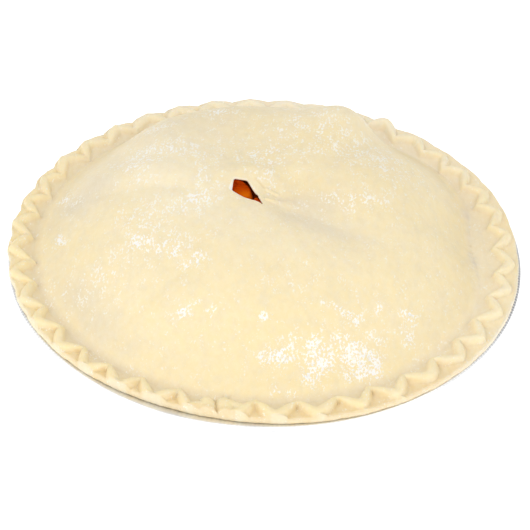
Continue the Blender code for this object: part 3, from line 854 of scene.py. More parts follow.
def rope_field(x, y):
    """The height of the crimp over the band, how steep its side is there, and how deep in a crease."""
    warp_x, warp_y = x + lumps(x, y, ROPE_WARPS[:1]), y + lumps(x, y, ROPE_WARPS[1:])
    path = rope_path()
    height = np.zeros(np.shape(x))
    share_up = np.zeros(np.shape(x))
    for start, end in zip(path, path[1:] + path[:1]):
        if hypot(end[0] - start[0], end[1] - start[1]) > ROPE_NEAR:
            continue
        spots = np.hypot(x - start[0], y - start[1]) < ROPE_NEAR
        distance, along = line_distance(warp_x[spots], warp_y[spots], start, end)
        profile = rope_profile(distance / mix(start[2], end[2], along))
        own = mix(start[3], end[3], along) * profile
        higher = own > height[spots]
        height[spots] = np.where(higher, own, height[spots])
        share_up[spots] = np.where(higher, profile, share_up[spots])
    block, block_crease = join_block(warp_x, warp_y)
    share_up = np.where(block > height, block / sizes().ridge_height, share_up)
    return np.maximum(height, block), share_up, block_crease


def clefts(x, y):
    """How deep in the narrow pocket outside an inner tip a place is."""
    deep = np.zeros(np.shape(x))
    for tooth in range(TEETH):
        if tooth != JOIN_TOOTH:
            angle = tooth_angle(tooth - ANGLE_WANDER / tau * TEETH * CRIMP_TABLE[2 * tooth, 1])
            spot_x, spot_y = ring_places(inner_tip_radius(angle) + CLEFT_OFFSET, angle)
            deep = np.maximum(deep, bell(np.hypot(x - spot_x, y - spot_y), CLEFT_REACH))
    return deep


def edge_radius(angle):
    """The dough's outer edge about the tin's axis."""
    swing = zigzag(tooth_share(angle))
    scallop = (swell(angle, *BACK_SCALLOP) + EDGE_SCALLOP) * swing
    tight = TIGHT_SCALLOP * swell(angle, *TIGHT) * (1.0 - swing)
    return EDGE_RADIUS + swells(angle, EDGE_SWELLS) + scallop - tight


def floor_height(x, y):
    """The dough's upper face without the crimp: the lid, the trough round it and the band."""
    radius, angle = ring_polar(x, y)
    foot = lid_radius(angle)
    share = (TROUGH_OUTER_RADIUS - radius) / (TROUGH_OUTER_RADIUS - foot)
    band = band_top() - TROUGH_DROP * smooth_step(share)
    band = band + swell(angle, *SHELF) * smooth_step((SHELF_RADIUS - radius) / SHELF_RUN)
    ragged = lumps(x, y, RAGGED_LUMPS) * smooth_step((radius - foot) / RAGGED_RUN)
    return np.where(radius < foot, lid_surface(x, y), band + ragged)


def painted_lid_shade(x, y):
    """Painted shade: where the lid is pressed in, along its valley, feet and saddle and on its back slope, its
    colour is drawn greyer.
    """
    return strokes(x, y, PAINTED_SHADES, 0.4, 6.0)


def band_height(x, y, angle, radii, share_up, height, deep):
    """The band's upper face with the crimp, the pockets between its teeth and the sag at the back."""
    tooth = tooth_share(angle)
    outside = radii - inner_tip_radius(angle)
    pocket = swell(angle, *LEFT_POCKET) + TIGHT_POCKET * swell(angle, *TIGHT)
    pocket = pocket * bell(tooth - np.round(tooth), POCKET_WIDTH)
    pocket = pocket * smooth_step((outside - POCKET_START) / POCKET_RUN)
    z = floor_height(x, y) + np.maximum(height, pocket)
    sag = swell(angle, *BACK_SAG) * (1.0 - zigzag(tooth)) * smooth_step(outside / POCKET_RUN)
    return z - (CLEFT_DEPTH * deep + sag) * (1.0 - share_up)


def band_places():
    """The rings of the band from the edge's foot to the lid's foot, and what their colours need."""
    angle = ring_angles(BAND_STEPS)
    around = (np.cos(angle), np.sin(angle))
    ridge, half_width = ridge_line(angle)
    edge = edge_radius(angle) + EDGE_UNEVENNESS * uneven(*around, 1.0 / 60.0)
    ring, _ = ring_polar(edge * around[0], edge * around[1])
    outer_foot = np.minimum(ridge + FOOT_REACH * half_width, ring - EDGE_INSET - LEAST_STEP)
    inner_foot = ridge - FOOT_REACH * half_width
    foot = np.minimum(lid_radius(angle), inner_foot - LEAST_STEP)
    stops = ((ring - EDGE_INSET, 4), (outer_foot, 8), (ridge, 8), (inner_foot, 10), (foot, 1))
    rows = [mix(a, b, i / count) for (a, count), (b, _) in zip(stops, stops[1:]) for i in range(count)]
    radii = np.array(rows + [foot])
    x, y = ring_places(radii, angle)
    height, share_up, block_crease = rope_field(x, y)
    flat = 1.0 - share_up
    deep = clefts(x, y)
    z = band_height(x, y, angle, radii, share_up, height, deep)
    z = z + EDGE_LIP * bell(ring - radii - EDGE_LIP_PLACE, EDGE_LIP_WIDTH) * flat
    sides = []
    for inward, up in EDGE_SIDES:
        side_z = mix(sizes().flange_top + GAP, z[0], up)
        sides.append(np.stack([(edge - inward) * around[0], (edge - inward) * around[1], side_z], 1))
    places = np.concatenate([np.array(sides), np.stack([x, y, z], 2)])
    # The strip outside the crimp's front is drawn warmer and darker
    strip = STRIP_WARMTH * smooth_step((radii - ridge - STRIP_START) / STRIP_START)
    strip = strip * smooth_step((STRIP_FRONT - around[1]) / STRIP_RUN)
    # Painted warm shade at the crimp's foot, in its clefts and in the join's crease
    crease = FOOT_PAINTED_SHADE * bell(share_up - FOOT_PLACE, FOOT_WIDTH)
    crease = np.clip(crease + CLEFT_PAINTED_SHADE * (deep * flat + block_crease) + strip, 0.0, 1.0)
    # The trough's grey is partly the pressed dough's own and partly painted shade; the edge's side and the
    # lid's shaded places get painted shade
    pressed_grey_and_painted_shade = TROUGH_SHADE * (1.0 - swell(angle, *PALER_TROUGH))
    pressed_grey_and_painted_shade = pressed_grey_and_painted_shade * smooth_step((TROUGH_SHADE_RADIUS - radii) / TROUGH_SHADE_RUN)
    pressed_grey_and_painted_shade = pressed_grey_and_painted_shade * flat * (1.0 - deep) + painted_lid_shade(x, y)
    rim = smooth_step((radii - foot) / (inner_tip_radius(angle) - foot))
    back_loss = 1.0 - RIM_BACK_LOSS * smooth_step((around[1] - RIM_BACK[0]) / RIM_BACK[1])
    side = np.ones((len(sides), BAND_STEPS))
    layers = {
        "crease": np.concatenate([side * strip[0], crease]),
        "pressed_grey_and_painted_shade": np.concatenate([SIDE_SHADE * side, pressed_grey_and_painted_shade]),
        "rim": np.concatenate([side, rim]) * back_loss,
        "film": swells(np.arctan2(places[:, :, 1], places[:, :, 0]), RIM_FILMS),
    }
    return places, layers


def lid_places():
    """The rings of the lid from its foot to the vent's edge and down the cut, and what their colours need."""
    angle = ring_angles(LID_STEPS)
    outer = LID_FOOT_SHARE * lid_radius(angle)
    far, near = LID_RINGS
    rows = [mix(outer, LID_TURN_RADIUS, i / far) for i in range(far)]
    rows += [np.full(LID_STEPS, LID_TURN_RADIUS * (1.0 - i / near)) for i in range(near)]
    torn = swell(angle, *VENT_TORN)
    cut = VENT_CUT + VENT_TORN_CUT * torn + VENT_CUT_UNEVENNESS * uneven(np.cos(angle), np.sin(angle), 0.1)
    cut_depth = VENT_CUT_DEPTH + VENT_TORN_DEPTH * torn
    rim = cut + VENT_CUT_ROUND
    x, y = (np.array(side) for side in zip(*(lid_plan(row, angle, rim) for row in rows)))
    rings = np.stack([x, y, lid_surface(x, y)], 2)
    rim_height = lid_surface(*vent_outline(angle, rim))
    # Each ring of the cut: how far it lies outside the vent's outline, and how far down
    cuts = [(cut * (1.0 - share), cut_depth * share + VENT_CUT_STEP) for share in VENT_CUT_SHARES]
    cuts += [(grow, cut_depth + down) for grow, down in VENT_CUT_FOOT]
    faces = [np.stack([*vent_outline(angle, grow), rim_height - down], 1) for grow, down in cuts]
    places = np.concatenate([rings, np.array(faces)])
    x, y = places[:, :, 0], places[:, :, 1]
    # Painted light on the vent's cut faces: drawn pale as flour, most at the torn end and along the near edge
    pale = CUT_PAINTED_LIGHT_SHARES[0] + CUT_PAINTED_LIGHT_SHARES[1] * torn + swell(angle, *CUT_PAINTED_LIGHT_FRONT)
    painted_cut_light = np.zeros(x.shape)
    painted_cut_light[-len(cuts) :] = np.minimum(pale, 1.0)
    layers = {
        "painted_cut_light": painted_cut_light,
        "flour": flour_amount(x, y),
        "film": patches(x, y, FILMS),
        "pressed_grey_and_painted_shade": painted_lid_shade(x, y),
        "rim": patches(x, y, FRONT_WARMTH),
        "crease": strokes(x, y, PAINTED_WARM_SHADES),
    }
    return places, layers


def lid_slant(x, y):
    """How much thicker the dough is when it is measured straight up, where the lid slopes."""
    step = DIFFERENCE_STEP
    slope_x = (lid_height(x + step, y) - lid_height(x - step, y)) / (2.0 * step)
    slope_y = (lid_height(x, y + step) - lid_height(x, y - step)) / (2.0 * step)
    return np.sqrt(1.0 + slope_x * slope_x + slope_y * slope_y)


def under_places(shares, clearance=0.0, shrink=1.0):
    """The lid's lower face; with a clearance, the filling's upper face below it."""
    angle = ring_angles(LOW_STEPS)
    rows = []
    for share in shares:
        x, y = lid_plan(share * shrink * lid_radius(angle), angle, VENT_UNDERCUT)
        thickness = mix(VENT_DOUGH, sizes().dough, smooth_step(share * shrink / VENT_THIN_SHARE))
        z = lid_height(x, y) - (thickness + clearance) * lid_slant(x, y)
        rows.append(np.stack([x, y, z], 1))
    return np.array(rows)


# The tin's profile and what nests in it


def tin_profile(offset, corner_facets, wall_facets):
    """The tin's upper face from the floor's edge to the flange, or the line that lies offset over it."""
    centre_z = FOIL + FLOOR_CORNER
    low = FLOOR_CORNER - offset
    high = FLANGE_CORNER + offset
    foot_z = centre_z - FLOOR_CORNER * cos(WALL_SLANT)
    top_z = sizes().flange_top - FLANGE_CORNER * (1.0 - cos(WALL_SLANT))
    wall_run = (top_z - foot_z) / tan(WALL_SLANT)
    flange_x = FLOOR_RADIUS + (FLOOR_CORNER + FLANGE_CORNER) * sin(WALL_SLANT) + wall_run
    flange_z = sizes().flange_top - FLANGE_CORNER
    turns = [WALL_SLANT * i / corner_facets for i in range(corner_facets + 1)]
    floor_arc = [(FLOOR_RADIUS + low * sin(turn), centre_z - low * cos(turn)) for turn in turns]
    flange_arc = [(flange_x - high * sin(turn), flange_z + high * cos(turn)) for turn in reversed(turns)]
    start, end = floor_arc[-1], flange_arc[0]
    wall = []
    for i in range(1, wall_facets):
        share = i / wall_facets
        wall.append((mix(start[0], end[0], share), mix(start[1], end[1], share)))
    return floor_arc + wall + flange_arc


def cavity_profile(clearance):
    """The bottom crust's inner face, from under the band down the wall to the floor's edge."""
    facets = 2
    offset = GAP + BOTTOM_CRUST + clearance
    floor_arc = tin_profile(offset, facets, 1)[: facets + 1]
    foot_x, foot_z = floor_arc[-1]
    top_z = CAVITY_TOP - clearance
    top = (foot_x + (top_z - foot_z) / tan(WALL_SLANT), top_z)
    return [top] + floor_arc[::-1]


def turned_places(profile, steps):
    angle = ring_angles(steps)
    rows = [np.stack([x * np.cos(angle), x * np.sin(angle), np.full(steps, z)], 1) for x, z in profile]
    return np.array(rows)


def bead_profile():
    """The rolled bead under the flange's edge, from its top round the outside and back under."""
    centre_x = sizes().rim_radius - BEAD_RADIUS
    centre_z = sizes().flange_top - BEAD_RADIUS
    points = []
    for i in range(BEAD_FACETS + 1):
        turn = BEAD_SWEEP * i / BEAD_FACETS
        points.append((centre_x + BEAD_RADIUS * sin(turn), centre_z + BEAD_RADIUS * cos(turn)))
    return points


# Mesh making


def new_mesh(layers=DOUGH_LAYERS):
    """An empty mesh with the layers that the piece's colours read."""
    mesh = bmesh.new()
    for name in layers:
        mesh.verts.layers.float.new(name)
    return mesh


def web(mesh, places):
    """Joined rings, one for each row of places: a grid whose vertices go to their own places, and whose two
    sides are welded where the ring closes."""
    stations, steps = places.shape[:2]
    made = bmesh.ops.create_grid(mesh, x_segments=stations - 1, y_segments=steps, size=1.0)
    rings = [[None] * (steps + 1) for _ in range(stations)]
    for vertex in made["verts"]:
        ring = round((vertex.co.x + 1.0) / 2.0 * (stations - 1))
        step = round((vertex.co.y + 1.0) / 2.0 * steps)
        rings[ring][step] = vertex
    for ring, row in zip(rings, places.tolist()):
        for vertex, place in zip(ring, row + row[:1]):
            vertex.co = place
    bmesh.ops.weld_verts(mesh, targetmap={ring[-1]: ring[0] for ring in rings})
    return [ring[:-1] for ring in rings]


def ring_edges(mesh, ring):
    return [mesh.edges.get(pair) for pair in zip(ring, ring[1:] + ring[:1])]


def bridge(mesh, ring, other):
    bmesh.ops.bridge_loops(mesh, edges=ring_edges(mesh, ring) + ring_edges(mesh, other))


def close_ring(mesh, ring):
    bmesh.ops.edgeloop_fill(mesh, edges=ring_edges(mesh, ring))


def write_layers(mesh, rings, layers):
    for name, values in layers.items():
        layer = mesh.verts.layers.float[name]
        for ring, row in zip(rings, values.tolist()):
            for vertex, value in zip(ring, row):
                vertex[layer] = value


def new_object(mesh, name, material):
    data = bpy.data.meshes.new(name)
    mesh.to_mesh(data)
    mesh.free()
    data.materials.append(material)
    piece = bpy.data.objects.new(name, data)
    bpy.context.scene.collection.objects.link(piece)
    return piece


def finish_piece(mesh, name, material, sharp=None):
    """Turns the faces outwards and makes the object, which rides on the pie's only body."""
    bmesh.ops.triangulate(mesh, faces=[face for face in mesh.faces if len(face.verts) > 4])
    bmesh.ops.recalc_face_normals(mesh, faces=list(mesh.faces))
    piece = new_object(mesh, name, material)
    piece.data.shade_smooth()
    if sharp is not None:
        piece.data.set_sharp_from_angle(angle=sharp)
    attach(piece, BODY)
    return piece


# Materials


class Finish:
    """A new material, and the kinds of node that the finishes are made of."""

    def __init__(self, name):
        self.material = bpy.data.materials.new(name)
        self.material.use_nodes = True
        self.tree = self.material.node_tree
        self.shader = self.tree.nodes["Principled BSDF"]
        self.place = self.tree.nodes.new("ShaderNodeTexCoord").outputs["Object"]

    def fill(self, socket, value):
        """Links a node's output to the socket, or sets the socket's own value."""
        if isinstance(value, bpy.types.NodeSocket):
            self.tree.links.new(value, socket)
        elif socket.type == "RGBA":
            socket.default_value = (*value, 1.0)
        else:
            socket.default_value = value

    def shade(self, values):
        for name, value in values.items():
            self.fill(self.shader.inputs[name], value)

    def node(self, kind, output, inputs, **settings):
        """One output of a new node with the given settings and inputs."""
        node = self.tree.nodes.new("ShaderNode" + kind)
        for name, value in settings.items():
            setattr(node, name, value)
        for name, value in inputs.items():
            self.fill(node.inputs[name], value)
        return node.outputs[output]

    def noise(self, size, detail=2.0, stretch=None, roughness=0.5):
        """Noise with lumps of the given size in metres."""
        place = self.place
        if stretch is not None:
            place = self.node("Mapping", "Vector", {"Vector": place, "Scale": stretch})
        inputs = {"Vector": place, "Scale": 1.0 / size, "Detail": detail, "Roughness": roughness}
        return self.node("TexNoise", "Fac", inputs)

    def ramp(self, value, low, high, bottom=0.0, top=1.0):
        inputs = {"Value": value, "From Min": low, "From Max": high, "To Min": bottom, "To Max": top}
        return self.node("MapRange", "Result", inputs, interpolation_type="SMOOTHSTEP")

    def calculate(self, operation, first, second):
        return self.node("Math", 0, {0: first, 1: second}, operation=operation)

    def blend(self, share, first, second):
        return self.node("Mix", 2, {"Factor": share, 6: first, 7: second}, data_type="RGBA")

    def attribute(self, name, share=None):
        value = self.node("Attribute", "Fac", {}, attribute_name=name)
        return value if share is None else self.calculate("MULTIPLY", value, share)

    def bump(self, height, distance, strength, below=None):
        inputs = {"Height": height, "Distance": distance, "Strength": strength}
        if below is not None:
            inputs["Normal"] = below
        normal = self.node("Bump", "Normal", inputs)
        self.shade({"Normal": normal})
        return normal


def dough_material():
    """Raw dough: cream with warmer blotches, painted warm shade in creases, greyer where pressed with painted
    shade over it, white where floured, and painted light on the vent's cut faces.
    """
    look = colours()
    finish = Finish("raw_dough_finish")
    blotches = finish.ramp(finish.noise(0.020, 3.0), 0.38, 0.66, 0.0, 0.5)
    mottle = finish.noise(0.0046, 4.0, (1.0, 0.60, 1.0), 0.60)
    grain = finish.ramp(finish.noise(0.0022, 4.0, (1.0, 0.65, 1.0), 0.65), 0.34, 0.70, 0.0, 0.14)
    # Specks: the more flour lies at a place, the more of the noise's peaks turn white
    fine = finish.ramp(finish.noise(0.0010, 2.0, (1.0, 0.62, 1.0), 0.6), 0.30, 0.70, 0.0, 0.72)
    coarse = finish.ramp(finish.noise(0.0042, 2.0, (1.0, 0.62, 1.0)), 0.32, 0.68, 0.0, 0.28)
    dust = finish.calculate("ADD", finish.calculate("ADD", fine, coarse), finish.attribute("flour", 0.48))
    thick = finish.ramp(finish.attribute("flour"), 0.0, 0.8, 0.55, 1.0)
    floured = finish.calculate("MULTIPLY", finish.ramp(dust, 0.80, 0.98), thick)
    coats = (
        (finish.calculate("MAXIMUM", blotches, finish.attribute("rim")), look.dough_warm),
        (finish.ramp(mottle, 0.40, 0.72, 0.0, 0.24), look.trough),
        # Pressed dough's grey and painted shade
        (finish.attribute("pressed_grey_and_painted_shade", 0.60), look.trough),
        # Painted warm shade
        (finish.attribute("crease", 0.75), look.crease),
        (finish.calculate("ADD", grain, finish.attribute("film")), look.flour),
        (floured, look.flour),
        # Painted light on the vent's cut faces
        (finish.attribute("painted_cut_light"), look.flour),
    )
    colour = look.dough
    for share, coat in coats:
        colour = finish.blend(share, colour, coat)
    finish.shade(
        {
            "Base Color": colour,
            "Roughness": finish.ramp(floured, 0.0, 1.0, 0.52, 0.85),
            "Specular IOR Level": 0.35,
            "Subsurface Weight": 0.20,
            "Subsurface Radius": (1.0, 0.80, 0.50),
            "Subsurface Scale": 0.0014,
        }
    )
    uneven_skin = finish.bump(finish.noise(0.0032, 3.0), 0.00045, 0.35)
    finish.bump(finish.noise(0.0007, 2.0), 0.00018, 0.40, uneven_skin)
    return finish.material


def flour_material():
    look = colours()
    finish = Finish("flour_finish")
    tint = tuple(0.93 * channel for channel in look.flour)
    colour = finish.blend(finish.noise(0.0009, 2.0), look.flour, tint)
    finish.shade({"Base Color": colour, "Roughness": 0.95, "Specular IOR Level": 0.1})
    finish.bump(finish.noise(0.0003, 2.0), 0.0001, 0.5)
    return finish.material


def peach_material(name, wet):
    """Cooked peach: orange flesh with darker red-brown fibres under a wet gloss, a painted highlight near the
    crest, and for the filling's body dark syrup with painted shade.
    """
    look = colours()
    finish = Finish(name)
    fibres = finish.ramp(finish.noise(0.0016, 3.0, (1.0, 2.4, 1.0)), 0.35, 0.70)
    dark = tuple(mix(a, b, 0.45) for a, b in zip(look.peach, look.syrup))
    colour = finish.blend(finish.calculate("MULTIPLY", fibres, 0.6), look.peach, dark)
    # Painted highlight near the fruit's crest
    colour = finish.blend(finish.attribute("crest"), colour, look.peach_painted_highlight)
    # The filling's body: dark syrup and painted shade
    if wet:
        colour = finish.blend(0.72, colour, look.syrup)
    finish.shade(
        {
            "Base Color": colour,
            "Roughness": finish.ramp(fibres, 0.0, 1.0, 0.22, 0.34),
            "Subsurface Weight": 0.25,
            "Subsurface Radius": (1.0, 0.35, 0.08),
            "Subsurface Scale": 0.0025,
            "Specular IOR Level": 0.0,
        }
    )
    finish.bump(finish.noise(0.0012, 3.0, (1.0, 2.0, 1.0)), 0.0004, 0.45)
    return finish.material


def foil_material():
    """Soft bare foil: bright, with fine rolling lines and shallow dents; painted shade and dark reflection in
    its grooves.
    """
    look = colours()
    finish = Finish("foil_finish")
    smudge = finish.noise(0.018, 3.0)
    tint = tuple(0.92 * channel for channel in look.foil)
    colour = finish.blend(finish.ramp(smudge, 0.35, 0.70), look.foil, tint)
    # Painted shade and dark reflection in the bead's grooves and on the wall
    colour = finish.blend(finish.attribute("painted_foil_shade"), colour, look.foil_painted_shade)
    roughness = finish.ramp(smudge, 0.30, 0.70, 0.36, 0.46)
    finish.shade({"Base Color": colour, "Metallic": 1.0, "Roughness": roughness})
    dents = finish.bump(finish.noise(0.0060, 3.0), 0.0008, 0.30)
    finish.bump(finish.noise(0.0004, 1.0, (1.0, 0.06, 1.0)), 0.00005, 0.30, dents)
    return finish.material


# The pieces


def flour_amount(x, y):
    start, run = FLOUR_BACK
    amount = np.minimum(patches(x, y, FLOUR_PLACES, DUST_REACH), FLOUR_MOST)
    return amount * (1.0 - FLOUR_BACK_LOSS * smooth_step((y - start) / run))


class PIE_OT_crust(bpy.types.Operator):
    """Make the dough: bottom crust, crimped rim and lid in one piece, open at the steam vent"""

    bl_idname = "pie.crust"
    bl_label = "Crust"

    def execute(self, context):
        mesh = new_mesh()
        shell = web(mesh, turned_places(tin_profile(GAP, 2, 1), LOW_STEPS))
        webs = []
        for places, layers in (band_places(), lid_places()):
            webs.append(web(mesh, places))
            write_layers(mesh, webs[-1], layers)
        cavity = turned_places(cavity_profile(0.0), LOW_STEPS)
        webs.append(web(mesh, np.concatenate([under_places(UNDER_SHARES), cavity])))
        for rings, further in zip([shell] + webs, webs):
            bridge(mesh, rings[-1], further[0])
        close_ring(mesh, shell[0])
        close_ring(mesh, webs[-1][-1])
        piece = finish_piece(mesh, "dough", dough_material())
        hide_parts("crust")
        return {"FINISHED"}


class PIE_OT_flour(bpy.types.Operator):
    """Scatter the flour's small clumps over the lid"""

    bl_idname = "pie.flour"
    bl_label = "Flour"

    def execute(self, context):
        draw = Random(FLOUR_SEED)
        spots = self.draw_spots(draw)
        heights = floor_height(*np.array(spots).T)
        mesh = bmesh.new()
        data = bpy.data.meshes.new("flour_part")
        for first in range(0, len(spots), FLOUR_BATCH):
            part = bmesh.new()
            for index in range(first, min(first + FLOUR_BATCH, len(spots))):
                radius = CLUMP_RADIUS + CLUMP_RADIUS_RANGE * draw.random() ** 3
                turns = [draw.uniform(*limits) for limits in CLUMP_TURNS]
                matrix = Matrix.Translation((*spots[index], heights[index] + CLUMP_LIFT * radius))
                matrix = matrix @ Euler(turns).to_matrix().to_4x4()
                stretch = [draw.uniform(*limits) for limits in CLUMP_STRETCHES]
                matrix = matrix @ Matrix.Diagonal((*stretch, CLUMP_FLATNESS, 1.0))
                bmesh.ops.create_icosphere(part, subdivisions=1, radius=radius, matrix=matrix)
            part.to_mesh(data)
            part.free()
            mesh.from_mesh(data)
        bpy.data.meshes.remove(data)
        finish_piece(mesh, "flour", flour_material())
        return {"FINISHED"}

    def draw_spots(self, draw):
        """The clumps' places, which keep to the thicker patches and gather in tufts."""
        spots = []
        thick = [patch for patch in FLOUR_PLACES if patch[3] >= CLUMPED]
        areas = [reach_x * reach_y * strength**2 for _, reach_x, reach_y, strength in thick]
        while len(spots) < sizes().flour_grains:
            (place_x, place_y), reach_x, reach_y, strength = draw.choices(thick, areas)[0]
            x = place_x + reach_x * draw.gauss(0.0, CLUMP_SCATTER)
            y = place_y + reach_y * draw.gauss(0.0, CLUMP_SCATTER)
            tuft = noise.noise(Vector((x, TUFT_STRETCH * y, 0.0)) / TUFT_SIZE)
            kept = draw.random() < strength**2 * smooth_step(tuft / TUFT_EDGE)
            if kept and hypot(x, y) < FLOUR_LID_RADIUS:
                spots.append((x, y))
        return spots


class PIE_OT_filling(bpy.types.Operator):
    """Make the fruit: the filling's body, and the peach slices that lie under the vent"""

    bl_idname = "pie.filling"
    bl_label = "Filling"

    def execute(self, context):
        self.make_body()
        for name, slice_form in SLICES.items():
            self.make_slice(name, *slice_form)
        return {"FINISHED"}

    def make_body(self):
        mesh = bmesh.new()
        outline_x, outline_y = vent_outline(ring_angles(LOW_STEPS))
        rows = []
        for share in FILLING_SHARES:
            x = mix(VENT_CENTRE[0], outline_x, share)
            y = mix(VENT_CENTRE[1], outline_y, share)
            z = lid_height(x, y) - VENT_DOUGH - GAP - FILLING_DROP
            z = z + FILLING_UNEVENNESS * uneven(x, y, FILLING_UNEVEN_SIZE)
            rows.append(np.stack([x, y, z], 1))
        under = under_places(UNDER_SHARES[1:], GAP, FILLING_SHRINK)
        for ring, share in enumerate(FILLING_LIP):
            under[ring, :, 2] -= share * FILLING_DROP
        cavity = turned_places(cavity_profile(GAP), LOW_STEPS)
        rings = web(mesh, np.concatenate([np.array(rows), under, cavity]))
        close_ring(mesh, rings[0])
        close_ring(mesh, rings[-1])
        # The body is drawn as dark syrup with painted shade
        piece = finish_piece(mesh, "peach_filling", peach_material("dark_syrup_and_painted_shade_finish", True))
        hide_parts("filling")

    def crest_distance(self, x, y):
        return np.hypot(x - SLICE_CREST[0], y - SLICE_CREST[1]) / SLICE_CREST_REACH

    def slice_limit(self, x, y):
        """The greatest height of the fruit at a place: just under the vent's opening, or under the dough."""
        distance, angle = from_vent(x, y)
        inside = vent_reach(angle) - distance
        covered = (VENT_DOUGH + SLICE_CLEARANCE) * lid_slant(x, y)
        bare = SLICE_DROP + SLICE_ROUND * self.crest_distance(x, y) ** 2
        return lid_height(x, y) - mix(covered, bare, smooth_step((inside + SLICE_CLEARANCE) / SLICE_EDGE))

    def make_slice(self, name, centre, turn, half_length, half_width, half_height, depth):
        """A wedge of peach: an ovoid bent along its length, and no higher than the vent leaves room for."""
        mesh = new_mesh(("crest",))
        around, lengthwise = SLICE_STEPS
        bmesh.ops.create_uvsphere(mesh, u_segments=around, v_segments=lengthwise, radius=1.0)
        origin = Vector((centre[0] * SLICE_LUMP_SPREAD, centre[1] * SLICE_LUMP_SPREAD, turn))
        lump = [noise.noise(vertex.co * SLICE_LUMP_SCALE + origin) for vertex in mesh.verts]
        lump = 1.0 + SLICE_LUMPS * np.array(lump)
        across, up, along = np.array([vertex.co for vertex in mesh.verts]).T
        ends = along * along
        across = across * (1.0 - SLICE_NARROWING * ends) * lump
        up = up * (1.0 - SLICE_THINNING * ends) * lump
        side = across * half_width + SLICE_BEND * half_length * ends
        ahead = along * half_length
        x = centre[0] + ahead * cos(turn) - side * sin(turn)
        y = centre[1] + ahead * sin(turn) + side * cos(turn)
        z = lid_height(x, y) - depth - half_height * (1.0 - up) - SLICE_SINK * ends
        z = np.minimum(z, self.slice_limit(x, y))
        for vertex, place in zip(mesh.verts, np.stack([x, y, z], 1).tolist()):
            vertex.co = place
        # The painted highlight round the fruit's crest
        write_layers(mesh, [mesh.verts], {"crest": bell(self.crest_distance(x, y), SLICE_PAINTED_HIGHLIGHT_REACH)[None]})
        finish_piece(mesh, name, peach_material(name + "_finish", False))


class PIE_OT_tin(bpy.types.Operator):
    """Make the foil tin: floor, creased wall, flange and serrated rolled bead in one sheet"""

    bl_idname = "pie.tin"
    bl_label = "Tin"

    def execute(self, context):
        steps = 4 * sizes().serrations
        angle = ring_angles(steps)
        outer = tin_profile(-FOIL, CORNER_FACETS, WALL_FACETS)[::-1]
        profile = tin_profile(0.0, CORNER_FACETS, WALL_FACETS) + bead_profile() + outer
        places = turned_places(profile, steps)
        radius, height = np.array(profile).T[:, :, None]
        # The wall's drawn creases: they stand outwards, and fade out at the foot and the flange
        creases = self.crease_wave(angle)
        lift = height / sizes().flange_top
        on_wall = smooth_step((lift - CREASE_FOOT) / CREASE_RUN) * smooth_step((1.0 - lift) / CREASE_FOOT)
        on_wall = on_wall * smooth_step((WALL_TOP_RADIUS - radius) / WALL_FADE)
        # Serrations across the bead, which is a little out of round
        gaps = 0.5 - 0.5 * np.cos(angle * sizes().serrations)
        on_bead = smooth_step((radius - (sizes().rim_radius - BEAD_START * BEAD_RADIUS)) / BEAD_RADIUS)
        bulge = swell(angle, *BULGE) - RIM_DRAW * (1.0 - swell(angle, *RIM_FULL))
        outward = CREASE_DEPTH * creases * on_wall + (bulge - SERRATION_DEPTH * gaps) * on_bead
        places[:, :, 0] += outward * np.cos(angle)
        places[:, :, 1] += outward * np.sin(angle)
        places[:, :, 2] -= SERRATION_SAG * on_bead * gaps * (height > sizes().flange_top - BEAD_RADIUS)
        mesh = new_mesh(("painted_foil_shade",))
        rings = web(mesh, places)
        # Painted shade and dark reflection: in the bead's grooves, more at two places, and over the wall, less
        # on its creases' crests
        dark = swells(angle, PAINTED_GROOVE_SHADE_SWELLS, PAINTED_GROOVE_SHADE) * mix(PAINTED_GROOVE_SHADE_ON_TEETH, 1.0, gaps**2)
        painted_wall_darkening = PAINTED_WALL_SHADE * smooth_step((WALL_TOP_RADIUS + WALL_FADE - radius) / WALL_FADE)
        write_layers(mesh, rings, {"painted_foil_shade": on_bead * dark + painted_wall_darkening * (1.0 - CREASE_PAINTED_LIGHT * creases)})
        self.floor_discs(mesh, rings)
        piece = finish_piece(mesh, "foil_tin", foil_material(), FOIL_SHARP)
        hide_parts("tin")
        return {"FINISHED"}

    def crease_wave(self, angle):
        """Drawn creases round the wall, unlike each other in width and depth, from 0 to 1."""
        around = (np.cos(angle), np.sin(angle))
        wobble = uneven(*around, *CREASE_WOBBLE_NOISE)
        depth = uneven(*around, *CREASE_DEPTH_NOISE)
        wave = 0.5 + 0.5 * np.cos(CREASES * angle + CREASE_WOBBLE * wobble)
        return np.clip(wave**CREASE_SHARPNESS * (CREASE_MIDDLE + CREASE_RANGE * depth), 0.0, 1.0)

    def floor_discs(self, mesh, rings):
        """The tin's floor, inside and underneath, with its low embossed rings."""
        for ring, z in ((rings[0], FOIL), (rings[-1], 0.0)):
            disc = web(mesh, turned_places([(x, z + rise) for x, rise in EMBOSSED], LOW_STEPS))
            bridge(mesh, ring, disc[0])
            close_ring(mesh, disc[-1])


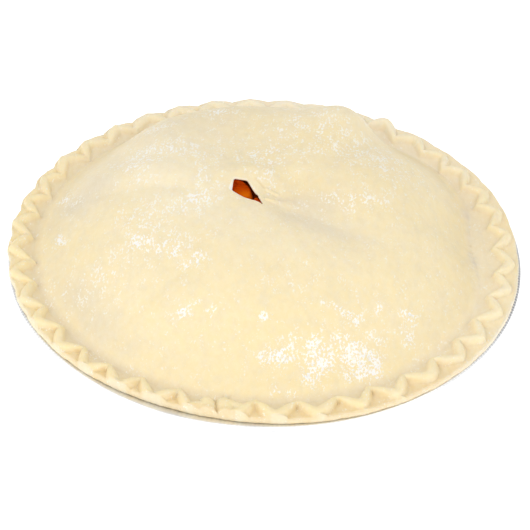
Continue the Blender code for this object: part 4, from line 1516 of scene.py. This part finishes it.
class PIE_OT_stage(bpy.types.Operator):
    """Set the pale floor, the soft lights and the camera"""

    bl_idname = "pie.stage"
    bl_label = "Stage"

    def execute(self, context):
        scene = context.scene
        scene.view_settings.view_transform = "Standard"
        self.floor(scene)
        self.lights(scene)
        self.camera(scene)
        return {"FINISHED"}

    def floor(self, scene):
        mesh = bmesh.new()
        bmesh.ops.create_grid(mesh, x_segments=1, y_segments=1, size=FLOOR_REACH)
        finish = Finish("floor_finish")
        tint = tuple(0.985 * channel for channel in colours().floor)
        colour = finish.blend(finish.noise(0.30, 2.0), colours().floor, tint)
        finish.shade({"Base Color": colour, "Roughness": 0.9})
        finish.shade({"Emission Color": WHITE[:3], "Emission Strength": FLOOR_GLOW})
        floor = new_object(mesh, "floor", finish.material)

    def lights(self, scene):
        world = bpy.data.worlds.new("studio")
        world.use_nodes = True
        backdrop = world.node_tree.nodes["Background"]
        backdrop.inputs["Color"].default_value = WHITE
        backdrop.inputs["Strength"].default_value = BACKDROP_STRENGTH
        scene.world = world
        for name, (spot, side, power) in LAMPS.items():
            lamp = bpy.data.lights.new(name, "AREA")
            lamp.shape = "SQUARE"
            lamp.size = side
            lamp.energy = power
            holder = bpy.data.objects.new(name, lamp)
            holder.location = spot
            holder.rotation_euler = (-Vector(spot)).to_track_quat("-Z", "Y").to_euler()
            scene.collection.objects.link(holder)

    def camera(self, scene):
        """The photograph's viewpoint."""
        back = Vector((0.0, -cos(VIEW_ELEVATION), sin(VIEW_ELEVATION)))
        right = Vector((1.0, 0.0, 0.0))
        up = back.cross(right)
        side = right * cos(VIEW_ROLL) + up * sin(VIEW_ROLL)
        top = up * cos(VIEW_ROLL) - right * sin(VIEW_ROLL)
        matrix = Matrix((side, top, back)).transposed().to_4x4()
        matrix.translation = Vector((*VIEW_OFFSET, VIEW_PLANE)) + back * VIEW_DISTANCE
        lens = bpy.data.cameras.new("camera")
        lens.sensor_width = SENSOR
        lens.lens = VIEW_FOCAL / FRAME_PIXELS * SENSOR
        camera = bpy.data.objects.new("camera", lens)
        camera.matrix_world = matrix
        scene.collection.objects.link(camera)
        scene.camera = camera


class PIE_PT_panel(bpy.types.Panel):
    """The pie's pieces, sizes and colours"""

    bl_idname = "PIE_PT_panel"
    bl_label = "Peach Pie"
    bl_space_type = "VIEW_3D"
    bl_region_type = "UI"
    bl_category = "Pie"

    def draw(self, context):
        column = self.layout.column()
        for operator in OPERATORS:
            column.operator(operator.bl_idname)
        for group in (context.scene.pie_sizes, context.scene.pie_colours):
            box = self.layout.box()
            for name in group.bl_rna.properties.keys():
                if name not in ("rna_type", "name"):
                    box.prop(group, name)


OPERATORS = (PIE_OT_tin, PIE_OT_crust, PIE_OT_filling, PIE_OT_flour, PIE_OT_stage)
CLASSES = (PieSizes, PieColours, *OPERATORS, PIE_PT_panel)


def register():
    for cls in CLASSES:
        bpy.utils.register_class(cls)
    bpy.types.Scene.pie_sizes = PointerProperty(type=PieSizes)
    bpy.types.Scene.pie_colours = PointerProperty(type=PieColours)


def unregister():
    del bpy.types.Scene.pie_colours
    del bpy.types.Scene.pie_sizes
    for cls in reversed(CLASSES):
        bpy.utils.unregister_class(cls)


def main():
    register()
    bpy.ops.pie.tin()
    bpy.ops.pie.crust()
    bpy.ops.pie.filling()
    bpy.ops.pie.flour()
    bpy.ops.pie.stage()


if __name__ == "__main__":
    main()
